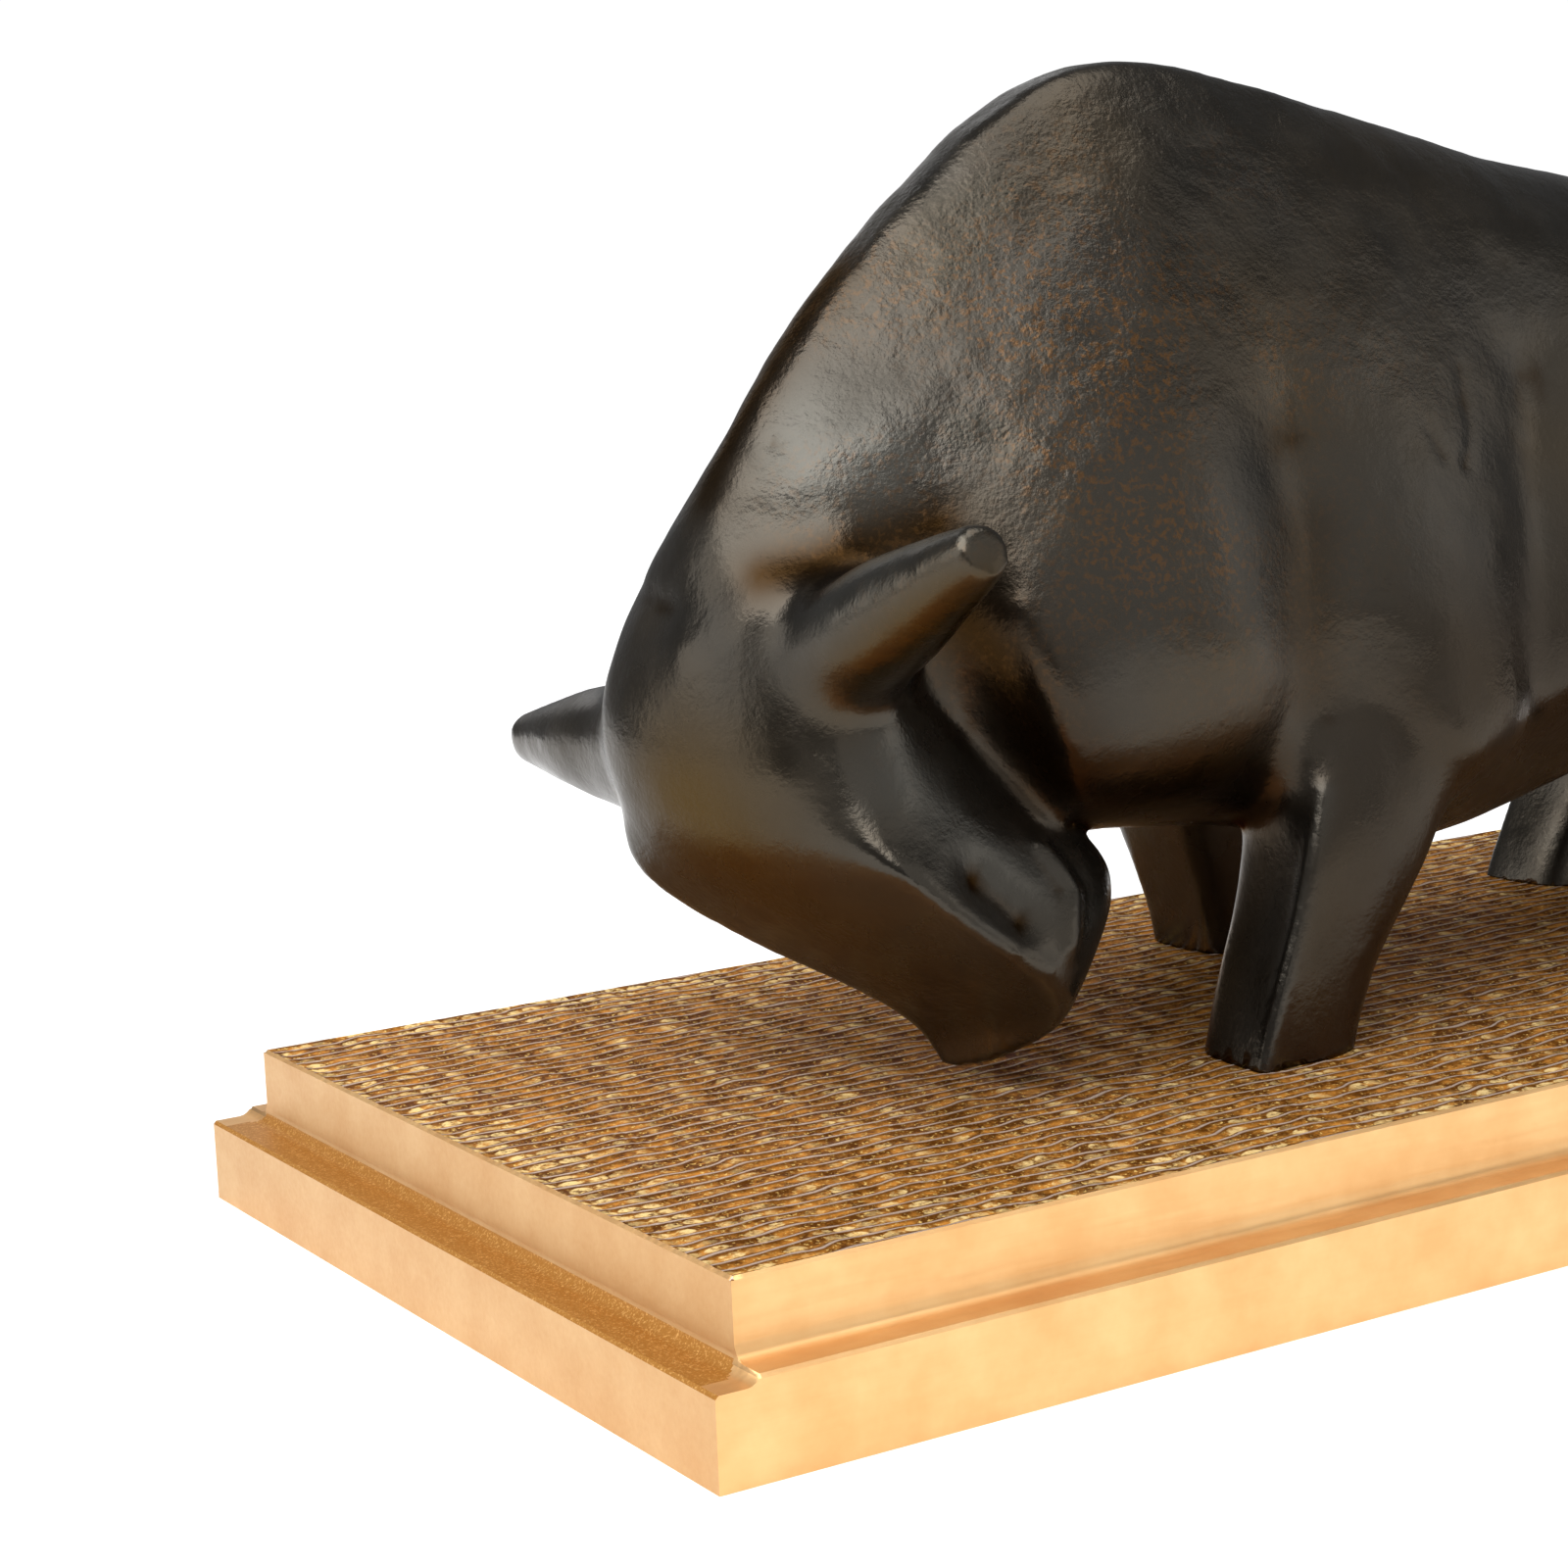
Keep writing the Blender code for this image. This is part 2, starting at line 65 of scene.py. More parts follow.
def putIn(name, data):
    # a new object that shows this data, in the scene
    item = bpy.data.objects.new(name, data)
    scene.collection.objects.link(item)
    return item


def placeCamera(v):
    # looking direction from yaw and pitch, then the frame is rolled about it
    yaw, pitch, roll = (math.radians(v[key]) for key in ("yaw", "pitch", "roll"))
    ahead = np.array((math.sin(yaw) * math.cos(pitch), math.cos(yaw) * math.cos(pitch),
                      -math.sin(pitch)))
    level = np.array((math.cos(yaw), -math.sin(yaw), 0.0))
    upright = np.cross(level, ahead)
    right = math.cos(roll) * level + math.sin(roll) * upright
    up = math.cos(roll) * upright - math.sin(roll) * level
    lens = bpy.data.cameras.new("photoCamera")
    lens.lens = v["lens"]
    lens.sensor_width = v["sensor"]
    lens.clip_start = v["nearest"]
    camera = putIn("photoCamera", lens)
    turned = Matrix(np.stack((right, up, -ahead), axis=1).tolist()).to_4x4()
    camera.matrix_world = Matrix.Translation(v["place"]) @ turned
    scene.camera = camera


# studio, in metres: a round pale sheet, a long soft box high on the left and a small one
# low, one overhead, and weak fills in front, on the right and behind; radiance is what each
# box shows, so its power follows from its size
studio = {
    "seenAround": (1.0, 1.0, 1.0),
    "seenStrength": 1.05,
    "roomColour": (0.95, 0.97, 1.0),
    "roomStrength": 0.20,
    "floorRadius": 1.5,
    "floorSides": 96,
    "floorColour": (0.86, 0.86, 0.86),
    "floorRoughness": 0.7,
    "floorGlow": 0.10,
    "boxes": [
        {"name": "leftHigh", "place": (-2.1, -0.45, 2.75), "size": (4.9, 2.6),
         "radiance": 5.6},
        {"name": "leftLow", "place": (-3.0, 1.35, 0.8), "size": (2.3, 1.6),
         "radiance": 2.0},
        {"name": "overhead", "place": (0.35, -0.5, 2.7), "size": (1.7, 1.7), "radiance": 3.2},
        {"name": "frontFill", "place": (0.9, -3.4, 1.7), "size": (6.0, 3.4),
         "radiance": 0.70},
        {"name": "rightFill", "place": (3.4, -2.2, 0.95), "size": (2.3, 2.4),
         "radiance": 0.88},
        {"name": "backFill", "place": (0.8, 3.4, 1.6), "size": (2.4, 1.6), "radiance": 0.6},
    ],
    "aim": (0.0, 0.0, 0.10),
}


def placeBox(box, aim):
    # a soft box turned to face the aim, its long side level
    width, height = box["size"]
    lamp = bpy.data.lights.new(box["name"], "AREA")
    lamp.shape = "RECTANGLE"
    lamp.size, lamp.size_y = width, height
    lamp.energy = box["radiance"] * math.pi * width * height
    holder = putIn(box["name"], lamp)
    away = np.array(box["place"]) - np.array(aim)
    flat = math.hypot(away[0], away[1])
    holder.visible_camera = False
    holder.location = box["place"]
    holder.rotation_euler = (math.atan2(flat, away[2]), 0.0, math.atan2(away[0], -away[1]))


def buildSurround(s):
    # plain white behind the object, and a dimmer room for the light and the reflections
    world = bpy.data.worlds.new("studioRoom")
    world.use_nodes = True
    tree = world.node_tree
    seen = tree.nodes["Background"]
    seen.inputs["Color"].default_value = (*s["seenAround"], 1.0)
    seen.inputs["Strength"].default_value = s["seenStrength"]
    room = tree.nodes.new("ShaderNodeBackground")
    room.inputs["Color"].default_value = (*s["roomColour"], 1.0)
    room.inputs["Strength"].default_value = s["roomStrength"]
    ray = tree.nodes.new("ShaderNodeLightPath")
    choice = tree.nodes.new("ShaderNodeMixShader")
    tree.links.new(ray.outputs["Is Camera Ray"], choice.inputs[0])
    tree.links.new(room.outputs["Background"], choice.inputs[1])
    tree.links.new(seen.outputs["Background"], choice.inputs[2])
    tree.links.new(choice.outputs["Shader"], tree.nodes["World Output"].inputs["Surface"])
    scene.world = world


def buildStudio(s):
    buildSurround(s)
    for box in s["boxes"]:
        placeBox(box, s["aim"])
    # floor: a flat disc, its rim points evenly spaced on a circle
    angle = 2 * np.pi * np.arange(s["floorSides"]) / s["floorSides"]
    rim = np.stack((np.cos(angle), np.sin(angle), np.zeros_like(angle)), axis=1)
    mesh = bpy.data.meshes.new("paleFloor")
    mesh.from_pydata((rim * s["floorRadius"]).tolist(), [], [list(range(s["floorSides"]))])
    floor = putIn("paleFloor", mesh)
    sheet, _, shader = startMaterial("paleSheet")
    shader.inputs["Base Color"].default_value = (*s["floorColour"], 1.0)
    shader.inputs["Roughness"].default_value = s["floorRoughness"]
    shader.inputs["Emission Color"].default_value = (1.0, 1.0, 1.0, 1.0)
    shader.inputs["Emission Strength"].default_value = s["floorGlow"]
    mesh.materials.append(sheet)
    print("studio", len(s["boxes"]), "soft boxes")


tableSize = 4096  # random values in a table, a power of two
tableSteps = (73856093, 19349663, 83492791)  # large and odd, to spread the lattice over it


def latticeNoise(points, pitch, seed):
    # smooth noise from -1 to 1: random values on a cubic lattice of that pitch, blended
    # between the eight corners of each cell with an eased weight
    table = np.random.default_rng(seed).uniform(-1.0, 1.0, tableSize)
    cell = points / pitch
    base = np.floor(cell).astype(np.int64)
    part = cell - base
    eased = part * part * (3.0 - 2.0 * part)
    total = np.zeros(len(points))
    for corner in itertools.product((0, 1), repeat=3):
        picked = np.array(corner)
        key = ((base + picked) * tableSteps).sum(axis=1) & (tableSize - 1)
        weight = np.where(picked == 1, eased, 1.0 - eased).prod(axis=1)
        total += table[key] * weight
    return total


def fadeBetween(value, low, high):
    # 0 at low, 1 at high, eased between; low may be the larger of the two
    share = np.clip((value - low) / (high - low), 0.0, 1.0)
    return share * share * (3.0 - 2.0 * share)


# the bull: height and voxel in metres, places in shares of its own height from the soles;
# x runs from the horns towards the tail
bull = {
    "height": 0.1878,
    "rounding": 4,
    "voxel": 0.0010,
    "triangles": 190000,
    "relaxRounds": 10,
    "relaxStrength": 0.5,
    # back x z, belly x z, half widths at crest, shoulder, flank, low flank and keel,
    # then how far down the shoulder and the low flank lie
    "body": np.array([
        (0.905, 0.62, 0.895, 0.48, 0.02, 0.05, 0.06, 0.05, 0.02, 0.20, 0.80),
        (0.890, 0.72, 0.86, 0.33, 0.05, 0.14, 0.19, 0.17, 0.08, 0.16, 0.80),
        (0.790, 0.79, 0.75, 0.24, 0.06, 0.18, 0.265, 0.265, 0.12, 0.15, 0.80),
        (0.600, 0.825, 0.58, 0.225, 0.06, 0.185, 0.285, 0.29, 0.13, 0.16, 0.80),
        (0.360, 0.845, 0.36, 0.235, 0.055, 0.18, 0.275, 0.265, 0.11, 0.17, 0.76),
        (0.180, 0.875, 0.17, 0.18, 0.045, 0.15, 0.255, 0.25, 0.10, 0.15, 0.73),
        (0.030, 0.913, 0.02, 0.15, 0.04, 0.125, 0.225, 0.235, 0.12, 0.13, 0.76),
        (-0.110, 0.952, -0.12, 0.155, 0.033, 0.10, 0.28, 0.30, 0.15, 0.09, 0.86),
        (-0.240, 0.982, -0.23, 0.19, 0.028, 0.08, 0.262, 0.287, 0.16, 0.07, 0.85),
        (-0.345, 0.998, -0.31, 0.21, 0.026, 0.068, 0.238, 0.264, 0.16, 0.055, 0.83),
        (-0.450, 0.998, -0.41, 0.22, 0.026, 0.062, 0.272, 0.304, 0.16, 0.05, 0.83),
        (-0.580, 0.91, -0.51, 0.23, 0.026, 0.060, 0.265, 0.29, 0.16, 0.05, 0.83),
        (-0.714, 0.788, -0.585, 0.23, 0.024, 0.065, 0.25, 0.27, 0.14, 0.07, 0.83),
        (-0.809, 0.677, -0.60, 0.25, 0.032, 0.155, 0.170, 0.145, 0.13, 0.28, 0.80),
        (-0.851, 0.610, -0.615, 0.30, 0.045, 0.17, 0.165, 0.135, 0.12, 0.30, 0.80),
        (-0.879, 0.555, -0.64, 0.36, 0.07, 0.155, 0.155, 0.13, 0.11, 0.24, 0.82),
        (-0.893, 0.51, -0.68, 0.42, 0.09, 0.14, 0.145, 0.13, 0.10, 0.12, 0.82),
        (-0.890, 0.45, -0.74, 0.43, 0.08, 0.11, 0.12, 0.11, 0.08, 0.15, 0.80),
    ]),
    "flankDown": 0.5,
    # face x z, jaw x z, lean to the left, half widths at ridge, cheek and jowl, roll
    "head": np.array([
        (-0.850, 0.56, -0.68, 0.66, 0.00, 0.11, 0.14, 0.12, 8),
        (-0.905, 0.47, -0.67, 0.57, -0.01, 0.13, 0.17, 0.12, 12),
        (-0.940, 0.37, -0.66, 0.48, -0.01, 0.165, 0.19, 0.12, 15),
        (-0.920, 0.275, -0.65, 0.41, 0.02, 0.18, 0.18, 0.11, 15),
        (-0.865, 0.205, -0.62, 0.35, 0.055, 0.18, 0.155, 0.10, 16),
        (-0.785, 0.145, -0.568, 0.285, 0.105, 0.152, 0.13, 0.09, 17),
        (-0.705, 0.095, -0.514, 0.23, 0.135, 0.115, 0.125, 0.09, 20),
        (-0.665, 0.045, -0.478, 0.182, 0.125, 0.086, 0.088, 0.068, 27),
        (-0.675, 0.00, -0.595, 0.085, 0.115, 0.048, 0.052, 0.036, 32),
    ]),
    # how far down the head the ridge, cheek and jowl lie
    "headDowns": np.array((0.06, 0.5, 0.93)),
    # height, centre along, half length, centre out, half width; the side comes first
    "legs": {
        "leftFront": (-1, np.array([
            (0.42, -0.20, 0.15, 0.16, 0.09),
            (0.26, -0.215, 0.115, 0.20, 0.085),
            (0.16, -0.262, 0.085, 0.205, 0.070),
            (0.07, -0.315, 0.075, 0.21, 0.062),
            (0.00, -0.335, 0.075, 0.212, 0.060),
            (-0.05, -0.345, 0.075, 0.212, 0.060),
        ])),
        "rightFront": (1, np.array([
            (0.42, -0.10, 0.15, 0.16, 0.09),
            (0.26, -0.105, 0.115, 0.20, 0.085),
            (0.16, -0.095, 0.085, 0.205, 0.070),
            (0.07, -0.07, 0.072, 0.21, 0.062),
            (0.00, -0.05, 0.072, 0.212, 0.060),
            (-0.05, -0.045, 0.072, 0.212, 0.060),
        ])),
        "leftHind": (-1, np.array([
            (0.46, 0.68, 0.12, 0.15, 0.08),
            (0.28, 0.70, 0.13, 0.185, 0.085),
            (0.16, 0.68, 0.092, 0.205, 0.070),
            (0.07, 0.665, 0.075, 0.21, 0.062),
            (0.00, 0.655, 0.075, 0.212, 0.060),
            (-0.05, 0.65, 0.075, 0.212, 0.060),
        ])),
        "rightHind": (1, np.array([
            (0.46, 0.64, 0.12, 0.15, 0.08),
            (0.28, 0.62, 0.13, 0.19, 0.085),
            (0.16, 0.57, 0.088, 0.21, 0.070),
            (0.07, 0.52, 0.075, 0.225, 0.062),
            (0.00, 0.49, 0.080, 0.225, 0.063),
            (-0.05, 0.48, 0.080, 0.225, 0.063),
        ])),
    },
    # eight corners round a leg, as forward and outward shares of its half sizes
    "legCorners": np.array(((-1.0, 1.0), (-1.0, 0.0), (-0.9, -1.0), (0.0, -1.05),
                            (0.9, -0.8), (1.05, 0.0), (0.95, 0.85), (0.0, 1.05))),
    # root and cut tip of each horn, then the sections along it and its radii at both
    "horns": {
        "left": ((-0.80, -0.12, 0.444), (-0.800, -0.385, 0.566)),
        "right": ((-0.85, 0.14, 0.335), (-0.872, 0.38, 0.318)),
    },
    "hornStations": np.array((-0.7, -0.2, 0.35, 0.7, 0.96, 1.0)),
    "hornRadii": (0.088, 0.029),
    "hornSides": 8,
    # the tail's path from its root down, and its radii along it
    "tail": np.array(((0.80, 0.0, 0.80), (0.875, 0.0, 0.755), (0.905, 0.01, 0.66),
                      (0.900, 0.025, 0.53), (0.888, 0.035, 0.42), (0.880, 0.03, 0.33))),
    "tailRadii": np.array((0.03, 0.036, 0.028, 0.026, 0.040, 0.014)),
    "tailSides": 6,
    # crisp edges: column, first and last section, sharpness; or section, columns, sharpness
    "bodyRidges": ((1, 7, 13, 0.5), (11, 7, 13, 0.5), (4, 5, 8, 0.5), (8, 5, 8, 0.5)),
    "bodyRims": ((12, (3, 4, 5), 0.5), (12, (9, 8, 7), 0.5)),
    "faceRidges": ((1, 3, 8, 0.55), (7, 3, 8, 0.55)),
    "shinRidges": ((0, 1, 5, 0.5),),
    "hornCut": 1.0,  # sharpness round each cut tip
    # joins eased along given lines: the line each follows and its reach
    "eased": (
        (((-0.77, -0.19, 0.42), (-0.83, -0.20, 0.39), (-0.88, -0.15, 0.39),
          (-0.90, -0.10, 0.44), (-0.89, -0.06, 0.50), (-0.79, -0.16, 0.51)), 0.040),
        (((-0.714, -0.15, 0.42), (-0.672, -0.148, 0.377), (-0.638, -0.163, 0.331),
          (-0.608, -0.185, 0.291)), 0.028),
        (((-0.76, -0.11, 0.62), (-0.66, -0.16, 0.615)), 0.060),
        (((-0.85, -0.20, 0.335), (-0.81, -0.215, 0.29)), 0.030),
        (((-0.33, -0.25, 0.30), (-0.31, -0.262, 0.36), (-0.22, -0.265, 0.39),
          (-0.12, -0.255, 0.36), (-0.09, -0.25, 0.30)), 0.035),
        (((-0.90, 0.18, 0.33), (-0.82, 0.18, 0.42), (-0.80, 0.2, 0.33)), 0.035),
        (((-0.44, -0.20, 0.27), (-0.39, -0.23, 0.30), (-0.34, -0.21, 0.275),
          (-0.25, -0.24, 0.28), (-0.12, -0.24, 0.24)), 0.045),
        (((-0.22, 0.22, 0.28), (-0.10, 0.24, 0.28), (0.02, 0.24, 0.24)), 0.04),
        (((0.56, -0.24, 0.30), (0.70, -0.27, 0.36), (0.83, -0.22, 0.36)), 0.05),
        (((0.50, 0.24, 0.28), (0.64, 0.27, 0.36), (0.77, 0.24, 0.34)), 0.05),
        (((0.80, 0.0, 0.80), (0.88, 0.0, 0.76), (0.89, 0.01, 0.66)), 0.04),
    ),
    "easeRounds": 150,
    # worked marks on the skin: the line each follows, its reach and its rise
    "marks": (
        # bulge of the neck and the fold across it
        (((-0.80, -0.08, 0.64), (-0.74, -0.12, 0.66)), 0.05, 0.006),
        (((-0.81, -0.05, 0.645), (-0.80, -0.09, 0.633), (-0.772, -0.136, 0.61)), 0.009, -0.003),
        # hollow between neck and horn
        (((-0.860, -0.08, 0.555), (-0.81, -0.14, 0.56), (-0.75, -0.17, 0.565)),
         0.045, -0.008),
        # front edge of the chest behind the cheek
        (((-0.655, -0.225, 0.48), (-0.640, -0.24, 0.43), (-0.612, -0.237, 0.36)),
         0.018, 0.004),
        # brow
        (((-0.895, -0.03, 0.45), (-0.885, -0.09, 0.46)), 0.045, 0.009),
        # cheek hollow and the jaw's edge behind it
        (((-0.72, -0.245, 0.235), (-0.684, -0.255, 0.195)), 0.026, -0.012),
        (((-0.625, -0.215, 0.25), (-0.608, -0.238, 0.21), (-0.63, -0.262, 0.165)), 0.014, 0.008),
        (((-0.72, 0.05, 0.235), (-0.684, 0.03, 0.195)), 0.026, -0.010),
        # valley behind the shoulder
        (((-0.315, -0.224, 0.61), (-0.313, -0.25, 0.53), (-0.324, -0.261, 0.46),
          (-0.313, -0.262, 0.40), (-0.304, -0.257, 0.345)), 0.055, -0.010),
        (((-0.30, 0.24, 0.60), (-0.30, 0.25, 0.50), (-0.29, 0.262, 0.38)), 0.055, -0.010),
        # raised line down the near shin
        (((-0.315, -0.262, 0.27), (-0.344, -0.263, 0.183), (-0.375, -0.268, 0.089),
          (-0.405, -0.270, -0.01)), 0.010, 0.0035),
        # waist before the haunch
        (((0.041, -0.204, 0.66), (0.017, -0.221, 0.593), (0.003, -0.242, 0.493),
          (-0.008, -0.253, 0.393), (-0.002, -0.254, 0.33)), 0.045, -0.010),
        (((0.041, 0.204, 0.66), (0.003, 0.242, 0.493), (-0.008, 0.253, 0.36)), 0.045, -0.010),
        # small folds on the flank
        (((-0.13, -0.212, 0.683), (-0.142, -0.233, 0.635), (-0.126, -0.244, 0.594)),
         0.010, -0.004),
        (((-0.065, -0.202, 0.678), (-0.073, -0.229, 0.61), (-0.095, -0.243, 0.58)),
         0.010, -0.004),
    ),
    # the modeller's touch all over: pitch in metres, height in metres, seed
    "touch": ((0.021, 0.00050, 3), (0.0080, 0.00022, 5), (0.0036, 0.00012, 7)),
    # the touch grows between these heights, and forward between these places along; then
    # its least share, low down, and the share of the rest that it keeps behind
    "workedHeights": (0.50, 0.72),
    "workedAlong": (0.1, -0.35),
    "workedLeast": 0.50,
    "workedBehind": 0.55,
    # painted shade, darkening towards the brown of the hollows where shade falls: the line each
    # follows, its reach and its depth
    "paintedShade": (
        (((-0.860, -0.10, 0.530), (-0.82, -0.125, 0.536), (-0.76, -0.145, 0.552),
          (-0.70, -0.16, 0.565)), 0.030, 1.0),
        (((-0.70, -0.17, 0.50), (-0.65, -0.20, 0.42), (-0.61, -0.215, 0.32)), 0.058, 1.0),
        (((-0.86, 0.0, 0.60), (-0.80, 0.0, 0.69), (-0.70, 0.0, 0.80)), 0.030, 0.7),
        (((-0.36, -0.20, 0.26), (-0.37, -0.19, 0.12), (-0.40, -0.20, 0.0)), 0.050, 0.6),
        (((-0.55, -0.22, 0.27), (-0.42, -0.24, 0.28), (-0.36, -0.24, 0.29)), 0.045, 0.6),
        (((-0.312, -0.25, 0.53), (-0.324, -0.261, 0.46), (-0.310, -0.262, 0.37)), 0.045, 0.45),
        (((-0.35, -0.27, 0.0), (-0.25, -0.26, 0.28), (-0.15, -0.27, 0.38),
          (0.30, -0.27, 0.38)), 0.110, 0.4),
    ),
    # stretches with a painted reflection of the gold plinth below, and with painted highlights,
    # in the same way
    "paintedGoldReflection": (
        (((-0.94, -0.04, 0.30), (-0.86, -0.08, 0.21), (-0.76, -0.12, 0.12)), 0.085, 1.0),
        (((-0.84, -0.24, 0.42), (-0.80, -0.36, 0.51)), 0.050, 1.0),
        (((-0.53, -0.24, 0.27), (-0.43, -0.25, 0.29)), 0.045, 0.9),
    ),
    # painted highlights: on the neck's bulge, the horn's top, the cheek and the shin's raised
    # line
    "paintedHighlight": (
        (((-0.80, -0.08, 0.67), (-0.79, -0.09, 0.62), (-0.74, -0.12, 0.63)), 0.050, 1.0),
        (((-0.85, -0.20, 0.51), (-0.83, -0.36, 0.58)), 0.035, 1.0),
        (((-0.77, -0.20, 0.34), (-0.68, -0.225, 0.25)), 0.060, 0.8),
        (((-0.315, -0.262, 0.27), (-0.344, -0.263, 0.183), (-0.375, -0.268, 0.089),
          (-0.405, -0.270, -0.01)), 0.011, 1.0),
    ),
    # where the patina is rubbed through: centre and reach
    "rubbed": ((-0.50, 0.22, 0.68), 0.25),
    # its patches: pitch in metres, seed, and the noise that fades from none to full
    "rubbedPatches": (0.018, 21),
    "rubbedFade": (-0.5, 0.5),
    # hollows: rounds of relaxing that give the mean skin, and the depths in metres that
    # count as none and as full
    "hollowRounds": 14,
    "hollowDepths": (0.00003, 0.00035),
}


def bodyRings(s):
    # point = back + (belly - back) * depth, moved out by the half width at that depth
    rows = s["body"]
    flat = np.zeros(len(rows))
    back = np.stack((rows[:, 0], flat, rows[:, 1]), axis=1)[:, None]
    belly = np.stack((rows[:, 2], flat, rows[:, 3]), axis=1)[:, None]
    depths = np.stack((flat, rows[:, 9], flat + s["flankDown"], rows[:, 10], flat + 1.0), axis=1)
    middle = back + (belly - back) * depths[:, :, None]
    out = np.zeros_like(middle)
    out[:, :, 1] = rows[:, 4:9]
    return np.concatenate((back, middle - out, belly, (middle + out)[:, ::-1]), axis=1)


def headRings(s):
    # the same on a line from face to jaw, turned by the roll about the head's length
    rows = s["head"]
    face = np.stack((rows[:, 0], -rows[:, 4], rows[:, 1]), axis=1)
    jaw = np.stack((rows[:, 2], -rows[:, 4], rows[:, 3]), axis=1)
    depth = np.linalg.norm(jaw - face, axis=1)[:, None]
    inward = (jaw - face) / depth
    across = np.array((0.0, 1.0, 0.0))
    roll = np.radians(rows[:, 8])[:, None]
    turnedAcross = across * np.cos(roll) - inward * np.sin(roll)
    turnedInward = inward * np.cos(roll) + across * np.sin(roll)
    start = (face + jaw) / 2 - turnedInward * depth / 2
    reach = turnedInward * depth
    middle = start[:, None] + reach[:, None] * s["headDowns"][None, :, None]
    out = turnedAcross[:, None] * rows[:, 5:8][:, :, None]
    end = (start + reach)[:, None]
    return np.concatenate((start[:, None], middle - out, end, (middle + out)[:, ::-1]), axis=1)


def legRings(s, side, rows):
    # eight corners of a level section, each row of settings one section
    forward, outward = s["legCorners"].T
    x = rows[:, 1:2] + rows[:, 2:3] * forward
    y = side * (rows[:, 3:4] + rows[:, 4:5] * outward)
    z = np.broadcast_to(rows[:, 0:1], x.shape)
    return np.stack((x, y, z), axis=2)


alongX = 0.8  # a heading with this share of x or more runs along the x axis


def tubeRings(centres, radii, sides):
    # circles round a path, each square to the path's heading there; the guide they are
    # turned from is x, or y where the path runs along x
    heading = np.gradient(centres, axis=0)
    heading /= np.linalg.norm(heading, axis=1)[:, None]
    crossing = np.abs(heading[:, :1]) < alongX
    guide = np.where(crossing, (1.0, 0.0, 0.0), (0.0, 1.0, 0.0))
    first = np.cross(heading, guide)
    first /= np.linalg.norm(first, axis=1)[:, None]
    second = np.cross(heading, first)
    angle = 2 * np.pi * np.arange(sides) / sides
    spoke = (first[:, None] * np.cos(angle)[None, :, None]
             + second[:, None] * np.sin(angle)[None, :, None])
    return centres[:, None] + spoke * radii[:, None, None]


def hornRings(s, root, tip):
    # a straight cone whose radius falls evenly from root to cut tip; it keeps its width
    # where it runs on into the head
    stations = s["hornStations"]
    root, tip = np.array(root), np.array(tip)
    centres = root + (tip - root) * stations[:, None]
    wide, narrow = s["hornRadii"]
    radii = wide + (narrow - wide) * np.maximum(stations, 0.0)
    return tubeRings(centres, radii, s["hornSides"])


def bullShells(s):
    # every shell as its rings, its crisp columns and its crisp sections
    shells = [(bodyRings(s), s["bodyRidges"], s["bodyRims"]),
              (headRings(s), s["faceRidges"], ())]
    for side, rows in s["legs"].values():
        shells.append((legRings(s, side, rows), s["shinRidges"], ()))
    allRound = tuple(range(s["hornSides"])) + (0,)
    for root, tip in s["horns"].values():
        rings = hornRings(s, root, tip)
        shells.append((rings, (), ((len(rings) - 1, allRound, s["hornCut"]),)))
    shells.append((tubeRings(s["tail"], s["tailRadii"], s["tailSides"]), (), ()))
    return shells


def buildCage(s, ground):
    # quads between neighbouring rings, a cap at each end, creases along the crisp runs
    points, faces, crisp = [], [], {}
    start = 0
    for rings, ridges, rims in bullShells(s):
        count, sides = rings.shape[:2]
        index = start + np.arange(count * sides).reshape(count, sides)
        following = np.roll(index, -1, axis=1)
        quads = np.stack((index[:-1], following[:-1], following[1:], index[1:]), axis=2)
        faces += quads.reshape(-1, 4).tolist()
        faces += [index[0, ::-1].tolist(), index[-1].tolist()]
        runs = [(index[first:last + 1, column], sharp) for column, first, last, sharp in ridges]
        runs += [(index[section, list(columns)], sharp) for section, columns, sharp in rims]
        for run, sharp in runs:
            for pair in zip(run[:-1].tolist(), run[1:].tolist()):
                crisp[frozenset(pair)] = sharp
        points.append(rings.reshape(-1, 3))
        start += count * sides
    mesh = bpy.data.meshes.new("bullCage")
    placed = np.concatenate(points) * s["height"] + (0.0, 0.0, ground)
    mesh.from_pydata(placed.tolist(), [], faces)
    sharpness = [crisp.get(frozenset(edge.vertices), 0.0) for edge in mesh.edges]
    mesh.attributes.new("crease_edge", "FLOAT", "EDGE").data.foreach_set("value", sharpness)
    shape = bmesh.new()
    shape.from_mesh(mesh)
    bmesh.ops.recalc_face_normals(shape, faces=shape.faces)
    shape.to_mesh(mesh)
    shape.free()
    return mesh


def evaluated(item):
    # the item's mesh with its modifiers applied, as a mesh of its own
    graph = bpy.context.evaluated_depsgraph_get()
    return bpy.data.meshes.new_from_object(item.evaluated_get(graph))


def readPoints(mesh):
    points = np.empty(len(mesh.vertices) * 3)
    mesh.vertices.foreach_get("co", points)
    return points.reshape(-1, 3)


def readEdges(mesh):
    edges = np.empty(len(mesh.edges) * 2, dtype=np.int32)
    mesh.edges.foreach_get("vertices", edges)
    return edges.reshape(-1, 2)


def relax(points, edges, rounds, strength):
    # each point moves a share of the way to the mean of its neighbours, again and again
    near, far = edges.T
    size = len(points)
    degree = np.bincount(edges.ravel(), minlength=size)[:, None]
    for _ in range(rounds):
        total = np.stack([np.bincount(near, points[far, axis], size)
                          + np.bincount(far, points[near, axis], size)
                          for axis in range(3)], axis=1)
        points = points + strength * (total / degree - points)
    return points


def ease(points, edges, s, ground):
    # extra relaxing that fades with the distance to each eased join
    shares = (points - (0.0, 0.0, ground)) / s["height"]
    weight = np.zeros(len(points))
    for path, reach in s["eased"]:
        weight = np.maximum(weight, np.exp(-(distanceToLine(shares, path) / reach) ** 2))
    return relax(points, edges, s["easeRounds"], s["relaxStrength"] * weight[:, None])


